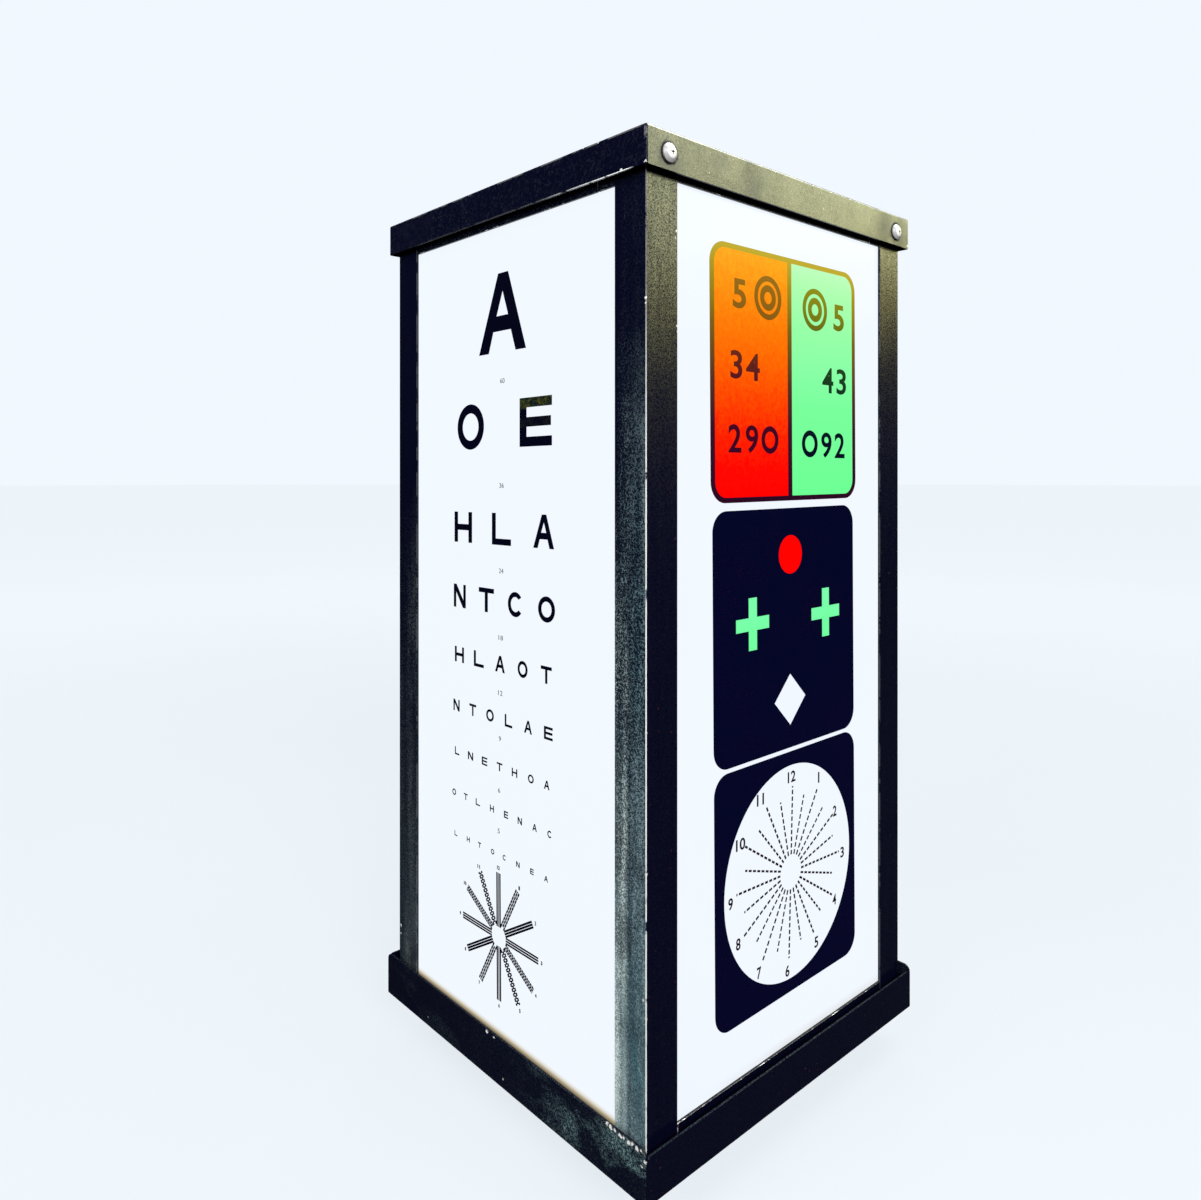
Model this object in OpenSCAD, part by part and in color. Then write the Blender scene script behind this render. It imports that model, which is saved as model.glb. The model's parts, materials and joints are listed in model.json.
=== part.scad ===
// Illuminated sight-test lantern: four lit chart faces in a black steel
// case that turns on a hollow spindle above a low round stand.
// Origin: centre of the stand on the surface it rests on. +Z up,
// the letter chart faces -Y and the colour chart faces +X.
// All dimensions are in millimetres.

/* [Lantern case] */
// Outside width of the square lid
lid_w = 305; // [300:1:312]
// Height from the tray's underside to the top of the lid
case_h = 646; // [640:1:660]
// Thickness of the lid and tray sheet
sheet_t = 1.5; // [1.2:0.1:1.8]
// Depth of the lid's skirt
skirt_h = 24.5; // [22:0.5:28]
// How far the tray stands outside the lid on each side
tray_over = 0.7; // [0.3:0.1:1.2]
// Height of the tray's front and back lips
lip_front = 34; // [31:1:36]
// Height of the tray's side lips
lip_side = 30; // [26:1:32]
// Height of the tray's underside above the table
tray_z = 32; // [32:1:40]

/* [Corner posts and rails] */
// Step from the lid's face in to the face of the posts
post_step = 6.1; // [5.5:0.1:7]
// Leg length of the corner angles
post_leg = 28; // [26:1:30]
// Thickness of the corner angles
post_t = 2; // [1.8:0.1:2.2]
// Top of the front and back sills above the tray's underside
sill_front = 24.5; // [22:0.5:28]
// Top of the side sills above the tray's underside
sill_side = 31; // [29:0.5:33]
// Lower edge of the front and back head rails above the tray's underside
head_front = 617; // [610:1:620]
// Lower edge of the side head rails above the tray's underside
head_side = 619; // [612:1:620]
// Width of the relief slit in each head rail
slit_w = 1.2; // [1:0.1:2]

/* [Chart panels] */
// Width of each opal panel
panel_w = 250; // [246:1:252]
// Thickness of each opal panel
panel_t = 3; // [2.5:0.5:3.5]
// Thickness of the printed films on the colour chart
film_t = 0.24; // [0.15:0.01:0.26]

/* [Lid fixings] */
// Diameter of the domed screw heads
screw_head_d = 12; // [11:0.5:13]
// Nominal diameter of the lid screws
screw_d = 6; // [5:1:6]
// Distance of each lid screw from the middle of its side
screw_y = 132.5; // [131:0.5:134]
// Height of the lid screws above the tray's underside
screw_z = 632; // [631:0.5:634]
// Diameter of the ventilation holes in the lid
vent_d = 7; // [5:1:8]

/* [Stand and bearing] */
// Outside diameter of the stand
stand_d = 230; // [220:2:236]
// Outside diameter of the spindle
spindle_d = 24; // [24:0.5:25]
// Running clearance between spindle and hub, per side
hub_clear = 0.05; // [0.03:0.01:0.08]
// Number of balls in the thrust bearing
balls = 12; // [8:1:14]

/* [Lamps] */
// Distance of each lamp tube from the axis
lamp_x = 48; // [44:1:54]
// Diameter of the lamp tubes' glass
lamp_d = 25.4; // [25:0.1:26]
// Length of the lamp tubes between their end faces
lamp_len = 437; // [436:0.5:438]

/* [Hidden] */
$fn = 64;
eps = 0.01;
tray_w = lid_w + 2 * tray_over;
frame_w = lid_w - 2 * post_step;        // across the posts' outer faces
fy = frame_w / 2;                       // post outer face from the axis
top_z = tray_z + case_h;                // top of the lid
skirt_z = top_z - skirt_h;              // lower edge of the skirt
lid_under = top_z - sheet_t;            // underside of the lid's top
floor_z = tray_z + sheet_t;             // top of the tray's floor
post_top = lid_under - 0.2;
panel_y = fy - post_t - 0.3;            // front face of the panels
panel_z0 = floor_z + 2;
panel_z1 = tray_z + 637;
pan_top = 24;                           // top of the stand
spindle_r = spindle_d / 2;
hub_top = 56;
lamp_z0 = tray_z + 321 - lamp_len / 2;
lamp_z1 = tray_z + 321 + lamp_len / 2;
gear_z = 74;
gland_a = 90;                           // direction of the cable inlet
switch_a = 120;                         // direction of the toggle switch
rim_z = 15.2;                           // height of inlet and switch axes

// ---- helpers ----------------------------------------------------------

// flat plate with round corners, lying in XY, from z = 0 up
module plate(w, d, h, r) {
  union() {
    translate([-w / 2 + r, -d / 2, 0]) cube([w - 2 * r, d, h]);
    translate([-w / 2, -d / 2 + r, 0]) cube([w, d - 2 * r, h]);
    for (x = [-1, 1], y = [-1, 1])
      translate([x * (w / 2 - r), y * (d / 2 - r), 0]) cylinder(h = h, r = r);
  }
}

// thin sheet standing on the +X side: w along Y, h along Z, t along +X
module wall_sheet(x, yc, zc, w, h, t, r) {
  translate([x, yc, zc]) rotate([0, 90, 0]) rotate([0, 0, 90])
    plate(w, h, t, r);
}

// round wire through a list of points
module wire(pts, d) {
  for (i = [0 : len(pts) - 2]) {
    v = pts[i + 1] - pts[i];
    translate(pts[i])
      rotate([0, acos(v[2] / norm(v)), atan2(v[1], v[0])])
        cylinder(h = norm(v), d = d);
  }
  if (len(pts) > 2)
    for (i = [1 : len(pts) - 2]) translate(pts[i]) rotate([35, 20, 10])
      sphere(d = d + 0.5);
}

// places its child at the four lid screws, axis along +X
module at_lid_screws() {
  for (a = [0, 180], y = [-1, 1])
    rotate([0, 0, a]) translate([0, y * screw_y, tray_z + screw_z])
      rotate([0, 90, 0]) children();
}

// ---- lid --------------------------------------------------------------

module lid() {
  color("#4a4a3e") difference() {
    translate([-lid_w / 2, -lid_w / 2, skirt_z]) cube([lid_w, lid_w, skirt_h]);
    translate([-lid_w / 2 + sheet_t, -lid_w / 2 + sheet_t, skirt_z - 1])
      cube([lid_w - 2 * sheet_t, lid_w - 2 * sheet_t, skirt_h + 1 - sheet_t]);
    for (i = [0 : 11]) rotate([0, 0, i * 30])
      translate([52, 0, lid_under - 1]) cylinder(h = 4, d = vent_d);
    for (i = [0 : 15]) rotate([0, 0, i * 22.5])
      translate([78, 0, lid_under - 1]) cylinder(h = 4, d = vent_d);
    for (i = [0 : 5]) rotate([0, 0, i * 60])
      translate([26, 0, lid_under - 1]) cylinder(h = 4, d = vent_d);
    at_lid_screws() translate([0, 0, lid_w / 2 - 3])
      cylinder(h = 6, d = screw_d);
  }
}

module lid_screws() {
  color("#e6e6e2") at_lid_screws() {
    difference() {
      translate([0, 0, lid_w / 2]) intersection() {
        cylinder(h = 3.4, d = screw_head_d);
        translate([0, 0, -5.2]) sphere(r = 8.6);
      }
      translate([-1.7, -0.4, lid_w / 2 + 2]) cube([3.4, 0.8, 3]);
      translate([-0.4, -1.7, lid_w / 2 + 2]) cube([0.8, 3.4, 3]);
    }
    translate([0, 0, fy - post_t - 8]) cylinder(h = lid_w / 2 - fy + post_t + 8, d = screw_d);
  }
}

module lid_spacers() {
  color("silver") at_lid_screws() translate([0, 0, fy + 0.1]) difference() {
    cylinder(h = lid_w / 2 - sheet_t - fy - 0.1, d = 11);
    translate([0, 0, -1]) cylinder(h = 10, d = screw_d);
  }
}

module lid_nuts() {
  color("silver") at_lid_screws() translate([0, 0, fy - post_t - 5.1])
    difference() {
      cylinder(h = 5, d = 11, $fn = 6);
      translate([0, 0, -1]) cylinder(h = 7, d = screw_d);
    }
}

// ---- tray, posts and rails ---------------------------------------------

// one lip along the -Y side, its two upper corners rounded off
module tray_lip(w, h) {
  r = 5;
  translate([-w / 2, -w / 2, tray_z]) {
    cube([w, sheet_t, h - r]);
    translate([r, 0, 0]) cube([w - 2 * r, sheet_t, h]);
    for (x = [r, w - r]) translate([x, sheet_t, h - r]) rotate([90, 0, 0])
      cylinder(h = sheet_t, r = r);
  }
}

module base_tray() {
  w = tray_w;
  color("#1b1d1c") difference() {
    union() {
      translate([-w / 2, -w / 2, tray_z]) cube([w, w, sheet_t]);
      for (a = [0, 180]) rotate([0, 0, a]) tray_lip(w, lip_front);
      rotate([0, 0, 90]) tray_lip(w, lip_side);
      rotate([0, 0, 270]) tray_lip(w, lip_front - 1.5);
    }
    translate([0, 0, tray_z - 1]) cylinder(h = 4, d = 40);
    for (i = [0 : 3]) rotate([0, 0, 45 + 90 * i])
      translate([28, 0, tray_z - 1]) cylinder(h = 4, d = 4);
    // ventilation slots in the floor
    for (a = [0 : 90 : 270], s = [-2 : 2]) rotate([0, 0, a])
      translate([100, s * 18, tray_z - 1]) {
        translate([-14, -2.5, 0]) cube([28, 5, 4]);
        for (e = [-14, 14]) translate([e, 0, 0]) cylinder(h = 4, r = 2.5);
      }
  }
}

// corner angle at the +X, -Y corner, notched at the top for one lid screw
module post() {
  z0 = floor_z;
  h = post_top - z0;
  difference() {
    union() {
      translate([fy - post_leg, -fy, z0]) cube([post_leg, post_t, h]);
      translate([fy - post_t, -fy, z0]) cube([post_t, post_leg, h]);
    }
    translate([fy - post_t - 1, -screw_y, tray_z + screw_z])
      rotate([0, 90, 0]) cylinder(h = post_t + 2, d = screw_d + 0.6);
    translate([fy - post_t - 1, -screw_y - screw_d / 2 - 0.3, tray_z + screw_z])
      cube([post_t + 2, screw_d + 0.6, 40]);
  }
}

module post_front_right() { color("#2e322f") post(); }
module post_front_left() { color("#1b1d1c") mirror([1, 0, 0]) post(); }
module post_back_right() { color("#2e322f") mirror([0, 1, 0]) post(); }
module post_back_left() { color("#1b1d1c") mirror([1, 0, 0]) mirror([0, 1, 0]) post(); }

module sill(zt) {
  x = fy - post_leg;
  translate([-x, -fy, floor_z]) cube([2 * x, post_t, zt - sheet_t]);
  // ledge that the panel stands on, with its upturned inner edge
  translate([-x, -fy + post_t, floor_z]) cube([2 * x, 9, 2]);
  translate([-x, -fy + post_t + 9, floor_z]) cube([2 * x, 1.5, 12]);
}

module sills_front_back() {
  color("#1b1d1c") for (a = [0, 180]) rotate([0, 0, a]) sill(sill_front);
}
module sills_side() {
  color("#1b1d1c") for (a = [90, 270]) rotate([0, 0, a]) sill(sill_side);
}

module head(zb) {
  x = fy - post_leg;
  difference() {
    translate([-x, -fy, tray_z + zb]) cube([2 * x, post_t, post_top - tray_z - zb]);
    translate([102.2 - slit_w / 2, -fy - 1, tray_z + zb - 1])
      cube([slit_w, post_t + 2, 8]);
  }
}

module heads_front_back() {
  color("#1b1d1c") for (a = [0, 180]) rotate([0, 0, a]) head(head_front);
}
module heads_side() {
  color("#1b1d1c") for (a = [90, 270]) rotate([0, 0, a]) head(head_side);
}

// pressed channel behind each panel edge: foot on the post, web, rear flange
module guide() {
  z0 = floor_z + 14;
  h = tray_z + head_front - z0;
  x = panel_w / 2 + 0.4;
  translate([x, -fy + post_t, z0]) cube([fy - post_t - x - 0.1, 1, h]);
  translate([x, -fy + post_t, z0]) cube([1, panel_t + 1.8, h]);
  translate([x - 9, -fy + post_t + panel_t + 0.8, z0]) cube([10, 1, h]);
}

module panel_guides() {
  color("#8d9193") for (a = [0 : 90 : 270]) rotate([0, 0, a]) {
    guide();
    mirror([1, 0, 0]) guide_short();
  }
}

// the guide at the other edge stops short of its neighbour's foot
module guide_short() {
  z0 = floor_z + 14;
  h = tray_z + head_front - z0;
  x = panel_w / 2 + 0.4;
  translate([x, -fy + post_t, z0]) cube([fy - post_t - x - 1.2, 1, h]);
  translate([x, -fy + post_t, z0]) cube([1, panel_t + 1.8, h]);
  translate([x - 9, -fy + post_t + panel_t + 0.8, z0]) cube([10, 1, h]);
}

// ---- panels and printed films -------------------------------------------

module panel() {
  translate([-panel_w / 2, -panel_y, panel_z0])
    cube([panel_w, panel_t, panel_z1 - panel_z0]);
}
module panel_front() { color("#f4f8ff") panel(); }
module panel_right() { color("#f4f8ff") rotate([0, 0, 90]) panel(); }
module panel_back() { color("#f4f8ff") rotate([0, 0, 180]) panel(); }
module panel_left() { color("#f4f8ff") rotate([0, 0, 270]) panel(); }

// film position on the colour chart: across, up from the tray's underside
module film(yc, zc, w, h, r) {
  wall_sheet(panel_y, yc, tray_z + zc, w, h, film_t, r);
}
// cutter that passes right through a film
module film_cut(yc, zc, w, h, r) {
  wall_sheet(panel_y - 1, yc, tray_z + zc, w, h, 3, r);
}
module film_round(yc, zc, d, x, h) {
  translate([x, yc, tray_z + zc]) rotate([0, 90, 0]) cylinder(h = h, d = d);
}

duo_y = 1.9; duo_z = 504.6;
module duochrome_mask() {
  color("#151515") difference() {
    film(duo_y, duo_z, 170.5, 173, 15);
    film_cut(duo_y - 41.5, duo_z, 79, 165.5, 3);
    film_cut(duo_y + 41.8, duo_z, 78.4, 165.5, 3);
  }
}
module duochrome_red() { color("#ff3a12") film(duo_y - 41.5, duo_z, 79, 165.5, 3); }
module duochrome_green() { color("#7dff9b") film(duo_y + 41.8, duo_z, 78.4, 165.5, 3); }

worth_y = 0.5; worth_z = 326.9;
dot_y = 2.4; dot_z = 379.4;
cross_z = [334.7, 333.0];
cross_y = [-41.1, 45.6];
dia_y = 1.6; dia_z = 275.8;
module cross(yc, zc, x, h) {
  translate([x, yc, tray_z + zc]) {
    translate([0, -4.5, -18]) cube([h, 9, 36]);
    translate([0, -18, -4.5]) cube([h, 36, 9]);
  }
}
module worth_mask() {
  color("#101012") difference() {
    film(worth_y, worth_z, 165.5, 171.4, 15);
    film_round(dot_y, dot_z, 27.4, panel_y - 1, 3);
    for (i = [0, 1]) cross(cross_y[i], cross_z[i], panel_y - 1, 3);
    translate([panel_y - 1, dia_y, tray_z + dia_z]) rotate([45, 0, 0])
      translate([0, -12.9, -12.9]) cube([3, 25.8, 25.8]);
  }
}
module worth_red() { color("#ff1408") film_round(dot_y, dot_z, 27.4, panel_y, film_t); }
module worth_green() {
  color("#6cf09a") for (i = [0, 1]) cross(cross_y[i], cross_z[i], panel_y, film_t);
}
module fan_mask() {
  color("#101012") difference() {
    film(0.5, 152.6, 165.5, 171.4, 15);
    film_round(1.7, 152.4, 150, panel_y - 1, 3);
  }
}

// ---- hub and bearing ------------------------------------------------------

module hub() {
  color("#b08d4a") difference() {
    union() {
      translate([0, 0, tray_z]) cylinder(h = hub_top - tray_z, d = 40);
      translate([0, 0, floor_z]) cylinder(h = 4, d = 70);
    }
    translate([0, 0, tray_z - 1])
      cylinder(h = hub_top, r = spindle_r + hub_clear);
    for (i = [0 : 3]) rotate([0, 0, 45 + 90 * i])
      translate([28, 0, tray_z - 1]) cylinder(h = 8, d = 4);
  }
}

module hub_screws() {
  color("silver") for (i = [0 : 3]) rotate([0, 0, 45 + 90 * i])
    translate([28, 0, 0]) {
      translate([0, 0, tray_z]) cylinder(h = sheet_t + 4, d = 4);
      translate([0, 0, floor_z + 4]) difference() {
        cylinder(h = 2.6, d = 7.5);
        translate([-5, -0.5, 1.6]) cube([10, 1, 2]);
      }
    }
}

module race_upper() {
  color("#c9ccd0") translate([0, 0, tray_z - 2]) difference() {
    cylinder(h = 2, d = 56);
    translate([0, 0, -1]) cylinder(h = 4, d = spindle_d + 1);
  }
}
module race_lower() {
  color("#c9ccd0") translate([0, 0, pan_top]) difference() {
    cylinder(h = 1.8, d = 56);
    translate([0, 0, -1]) cylinder(h = 4, d = spindle_d + 0.4);
  }
}
module bearing_balls() {
  color("#dfe2e6") for (i = [0 : balls - 1]) rotate([0, 0, 360 / balls * i])
    translate([20, 0, pan_top + 3.8]) sphere(r = 1.95);
}
module ball_cage() {
  color("#b5954f") translate([0, 0, pan_top + 3.2]) difference() {
    cylinder(h = 1.2, r = 24.5);
    translate([0, 0, -1]) cylinder(h = 4, r = 15);
    for (i = [0 : balls - 1]) rotate([0, 0, 360 / balls * i])
      translate([20, 0, -1]) cylinder(h = 4, r = 2.1);
  }
}

// ---- stand -----------------------------------------------------------------

// places its child on the stand's rim, axis pointing outwards
module on_rim(a) {
  rotate([0, 0, a]) translate([0, 0, rim_z]) rotate([0, 90, 0]) children();
}

module stand_pan() {
  r = stand_d / 2;
  color("#1b1d1c") difference() {
    union() {
      translate([0, 0, 7]) cylinder(h = pan_top - 7 - 3, r = r);
      translate([0, 0, pan_top - 3]) cylinder(h = 3, r1 = r, r2 = r - 3);
    }
    translate([0, 0, 6]) cylinder(h = pan_top - 8, r = r - 4);
    translate([0, 0, 6]) cylinder(h = 4, r = r - 2);
    translate([0, 0, pan_top - 5]) cylinder(h = 8, d = spindle_d);
    for (i = [0 : 3]) rotate([0, 0, 90 * i])
      translate([20, 0, pan_top - 5]) cylinder(h = 8, d = 4);
    on_rim(gland_a) translate([0, 0, r - 8]) cylinder(h = 12, d = 12);
    on_rim(switch_a) translate([0, 0, r - 8]) cylinder(h = 12, d = 6);
    // flat seats for the inlet and the switch
    on_rim(gland_a) translate([-20, -9, r - 0.8]) cube([40, 18, 4]);
    on_rim(switch_a) translate([-20, -6, r - 0.8]) cube([40, 12, 4]);
    // bench fixing holes, reached through the cover
    for (x = [-1, 1], y = [-1, 1]) translate([x * 60, y * 60, pan_top - 5])
      cylinder(h = 8, d = 5.5);
  }
}

module stand_cover() {
  color("#3b3d3c") difference() {
    translate([0, 0, 7]) cylinder(h = 1.5, d = stand_d - 4.4);
    for (i = [0 : 3]) rotate([0, 0, 90 * i])
      translate([95, 0, 6]) cylinder(h = 4, d = 4);
    for (x = [-1, 1], y = [-1, 1]) translate([x * 60, y * 60, 6])
      cylinder(h = 4, d = 12);
  }
}

module stand_feet() {
  color("#202020") for (i = [0 : 3]) rotate([0, 0, 90 * i])
    translate([95, 0, 0]) difference() {
      cylinder(h = 7, r1 = 9.5, r2 = 11);
      translate([0, 0, -1]) cylinder(h = 5, d = 8);
      cylinder(h = 8, d = 4);
    }
}
module foot_screws() {
  color("silver") for (i = [0 : 3]) rotate([0, 0, 90 * i])
    translate([95, 0, 0]) {
      translate([0, 0, 1.6]) cylinder(h = 2.4, d = 7.2);
      translate([0, 0, 4]) cylinder(h = 8, d = 4);
      translate([0, 0, 8.5]) cylinder(h = 3.2, d = 7.6, $fn = 6);
    }
}

module spindle() {
  color("#c9ccd0") difference() {
    union() {
      translate([0, 0, 18]) cylinder(h = 4, d = 56);
      translate([0, 0, 18]) cylinder(h = gear_z - 18, d = spindle_d);
    }
    translate([0, 0, 17]) cylinder(h = 80, d = 14);
    translate([0, 0, 40]) cylinder(h = 80, d = 18);
    for (i = [0 : 3]) rotate([0, 0, 90 * i])
      translate([20, 0, 17]) cylinder(h = 8, d = 4);
  }
}
module spindle_screws() {
  color("silver") for (i = [0 : 3]) rotate([0, 0, 90 * i])
    translate([20, 0, 0]) {
      translate([0, 0, 18]) cylinder(h = pan_top - 18, d = 4);
      translate([0, 0, 15.4]) cylinder(h = 2.6, d = 7);
    }
}

module retaining_collar() {
  color("#c9ccd0") translate([0, 0, hub_top + 0.3]) difference() {
    cylinder(h = 10, d = 40);
    translate([0, 0, -1]) cylinder(h = 12, d = spindle_d);
    translate([0, 0, 5]) rotate([0, 90, 0]) cylinder(h = 30, d = 5);
  }
}
module collar_screw() {
  color("#55585a") translate([0, 0, hub_top + 5.3]) rotate([0, 90, 0])
    difference() {
      translate([0, 0, spindle_r]) cylinder(h = 7, d = 5);
      translate([0, 0, spindle_r + 4]) cylinder(h = 4, d = 2.5, $fn = 6);
    }
}

// ---- lamp column and gear ----------------------------------------------------

module lamp_column() {
  color("#b9bcbe") difference() {
    translate([0, 0, 40]) cylinder(h = lamp_z1 + 56 - 40, d = 17.9);
    translate([0, 0, 39]) cylinder(h = 700, d = 14);
  }
}

module gear_plate() {
  color("#a6aaab") difference() {
    translate([0, 0, gear_z]) plate(190, 116, 2, 12);
    translate([0, 0, gear_z - 1]) cylinder(h = 4, d = 18);
    for (x = [-83, 83], y = [27, 41]) translate([x, y, gear_z - 1])
      cylinder(h = 4, d = 4);
  }
}

module ballast() {
  color("#d8d8d2") difference() {
    union() {
      translate([-74, 14, gear_z + 2]) cube([148, 41, 26]);
      translate([-90, 19, gear_z + 2]) cube([180, 30, 1.5]);
    }
    for (x = [-83, 83], y = [27, 41]) translate([x, y, gear_z + 1])
      cylinder(h = 4, d = 4);
  }
}
module ballast_screws() {
  color("silver") for (x = [-83, 83], y = [27, 41]) translate([x, y, 0]) {
    translate([0, 0, gear_z - 3]) cylinder(h = 6.5, d = 4);
    translate([0, 0, gear_z + 3.5]) cylinder(h = 2.6, d = 7.5);
    translate([0, 0, gear_z - 3.2]) cylinder(h = 3.2, d = 7.6, $fn = 6);
  }
}

module starter_sockets() {
  color("#f0efe8") for (x = [-48, 48]) translate([x, -34, gear_z + 2])
    difference() {
      cylinder(h = 12, d = 30);
      translate([0, 0, 4]) cylinder(h = 12, d = 21.8);
    }
}
module starters() {
  color("#ece9dc") for (x = [-48, 48]) translate([x, -34, gear_z + 6])
    union() {
      cylinder(h = 33, d = 21.5);
      translate([0, 0, 33]) cylinder(h = 2, r1 = 10.75, r2 = 8.75);
    }
}

module terminal_block() {
  color("#efe9d6") difference() {
    translate([-28, -50, gear_z + 2]) cube([56, 18, 15]);
    for (i = [-2 : 2], y = [-46, -36]) translate([i * 10.5, y, gear_z + 12])
      cylinder(h = 8, d = 4.6);
    for (i = [-1.5 : 1.5]) translate([i * 10.5 - 0.6, -51, gear_z + 13])
      cube([1.2, 20, 8]);
  }
}

// cross bar clamped to the column; z is its lower face
module bracket(z, clamp_z) {
  difference() {
    union() {
      translate([0, 0, z]) plate(2 * lamp_x + 30, 28, 2, 8);
      translate([0, 0, clamp_z]) cylinder(h = 12, d = 30);
    }
    translate([0, 0, z - 20]) cylinder(h = 60, d = 17.9);
    translate([0, 0, clamp_z + 6]) rotate([90, 0, 0]) cylinder(h = 30, d = 4);
  }
}
sock_h = 15;
module bracket_lower() {
  color("#a6aaab") bracket(lamp_z0 - sock_h - 2, lamp_z0 - sock_h - 14);
}
module bracket_upper() {
  color("#a6aaab") bracket(lamp_z1 + sock_h, lamp_z1 + sock_h + 2);
}

// one bi-pin lamp socket; z = 0 is the face that meets the lamp cap
module socket() {
  difference() {
    union() {
      translate([-12, -8, -sock_h]) cube([24, 16, sock_h]);
      translate([0, 0, -sock_h]) cylinder(h = sock_h - 0.2, d = 26);
    }
    for (y = [-6.35, 6.35]) translate([0, y, -9]) cylinder(h = 12, d = 2.4);
  }
}
module lamp_sockets() {
  color("#f4f3ee") for (x = [-lamp_x, lamp_x]) {
    translate([x, 0, lamp_z0]) socket();
    translate([x, 0, lamp_z1]) mirror([0, 0, 1]) socket();
  }
}

module lamp_tubes() {
  color("#fbfdff") for (x = [-lamp_x, lamp_x]) translate([x, 0, lamp_z0 + 2])
    difference() {
      cylinder(h = lamp_len - 4, d = lamp_d);
      translate([0, 0, -1]) cylinder(h = lamp_len, d = lamp_d - 1.6);
    }
}

module lamp_cap() {
  difference() {
    cylinder(h = 15, d = lamp_d + 0.6);
    translate([0, 0, 2]) cylinder(h = 20, d = lamp_d);
  }
  for (y = [-6.35, 6.35]) translate([0, y, -7]) cylinder(h = 7, d = 2.4);
}
module lamp_caps() {
  color("#c4c7ca") for (x = [-lamp_x, lamp_x]) {
    translate([x, 0, lamp_z0]) lamp_cap();
    translate([x, 0, lamp_z1]) mirror([0, 0, 1]) lamp_cap();
  }
}

module lamp_leads() {
  t = lamp_z1 + 62;
  b = lamp_z0 - sock_h;
  color("#e9e4d4") for (s = [-1, 1]) {
    // up out of the column and down to the upper sockets
    wire([[s * 3, 0, t - 30], [s * 3, 0, t], [s * 9, 0, t + 4],
      [s * 24, 0, t - 4], [s * (lamp_x - 12), 0, t - 26],
      [s * (lamp_x - 12), 0, lamp_z1 + sock_h + 2]], 2.4);
    // terminal block up to the lower sockets
    wire([[s * 10.5, -46, gear_z + 12.2], [s * 10.5, -46, b - 20],
      [s * 22, -36, b - 8], [s * (lamp_x - 6), -17.5, b - 1],
      [s * (lamp_x - 2), -14.4, b + 6]], 2.4);
  }
}

module supply_leads() {
  r = stand_d / 2;
  color("#8c5a3a") {
    // inlet to the spindle
    wire([[1.8, r - 18, rim_z], [1.8, 60, 12.2], [1.8, 1, 12.2],
      [1.8, 1, 44]], 2.4);
    // inlet to the switch
    wire([[-1.8, r - 18, rim_z], [-12, 84, 12.2], [-36, 76, 12.2],
      [-45.4, 83.6, rim_z]], 2.4);
    // switch to the spindle
    wire([[-49.6, 80.6, rim_z - 0.3], [-40, 56, 12.4], [-1.8, -1, 12.4],
      [-1.8, -1, 44]], 2.4);
  }
}

// ---- inlet and switch ----------------------------------------------------------

module cable_gland() {
  r = stand_d / 2 - 0.8;
  color("#2a2a2a") on_rim(gland_a) difference() {
    union() {
      translate([0, 0, r - 14]) cylinder(h = 14, d = 12);
      translate([0, 0, r]) cylinder(h = 4.5, d = 16.5, $fn = 6);
      translate([0, 0, r + 4.5]) cylinder(h = 7, d = 13.5);
      translate([0, 0, r + 11.5]) cylinder(h = 3, r1 = 6.75, r2 = 4.8);
    }
    translate([0, 0, r - 20]) cylinder(h = 60, d = 6.6);
  }
}
module gland_nut() {
  r = stand_d / 2 - 4;
  color("#2a2a2a") on_rim(gland_a) translate([0, 0, r - 4.8]) difference() {
    rotate([0, 0, 30]) cylinder(h = 4, d = 15, $fn = 6);
    translate([0, 0, -1]) cylinder(h = 8, d = 12);
  }
}

module switch_body() {
  r = stand_d / 2;
  color("#b9bcbe") on_rim(switch_a) difference() {
    union() {
      translate([-5, -6, r - 17.5]) cube([10, 12, 13]);
      translate([0, 0, r - 5]) cylinder(h = 10, d = 6);
    }
    translate([0, 0, r - 1.5]) cylinder(h = 12, d = 4.8);
    translate([0, 0, r - 1.5]) sphere(r = 2.4);
  }
}
module switch_nut() {
  color("silver") on_rim(switch_a) translate([0, 0, stand_d / 2 - 0.8])
    difference() {
      cylinder(h = 2.4, d = 9.2, $fn = 6);
      translate([0, 0, -1]) cylinder(h = 5, d = 6);
    }
}
// at rest the lever points 12 degrees down, the off position
module toggle_lever() {
  color("#dfe2e6") on_rim(switch_a) translate([0, 0, stand_d / 2 + 1])
    rotate([0, 12, 0]) {
      sphere(r = 2.1);
      rotate([90, 0, 0]) translate([0, 0, -2.25]) cylinder(h = 4.5, d = 1.2);
      cylinder(h = 11, r1 = 1, r2 = 1.7);
      translate([0, 0, 11]) sphere(r = 1.7);
    }
}

lid();
lid_screws();
lid_spacers();
lid_nuts();
base_tray();
post_front_left();
post_front_right();
post_back_right();
post_back_left();
sills_front_back();
sills_side();
heads_front_back();
heads_side();
panel_guides();
panel_front();
panel_right();
panel_back();
panel_left();
duochrome_mask();
duochrome_red();
duochrome_green();
worth_mask();
worth_red();
worth_green();
fan_mask();
hub();
hub_screws();
race_upper();
stand_pan();
stand_cover();
stand_feet();
foot_screws();
spindle();
spindle_screws();
race_lower();
bearing_balls();
ball_cage();
retaining_collar();
collar_screw();
lamp_column();
gear_plate();
ballast();
ballast_screws();
starter_sockets();
starters();
terminal_block();
bracket_lower();
bracket_upper();
lamp_sockets();
lamp_tubes();
lamp_caps();
lamp_leads();
supply_leads();
cable_gland();
gland_nut();
switch_body();
switch_nut();
toggle_lever();
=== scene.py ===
"""Looks of the sight-test lantern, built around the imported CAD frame. Lengths are in metres, except
in the chart helpers, which take millimetres (u to the viewer's right, z up from the tray's underside)."""

import json
import math
import random

import bmesh
import bpy
from mathutils import Matrix, Vector
from mathutils.geometry import tessellate_polygon

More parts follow.
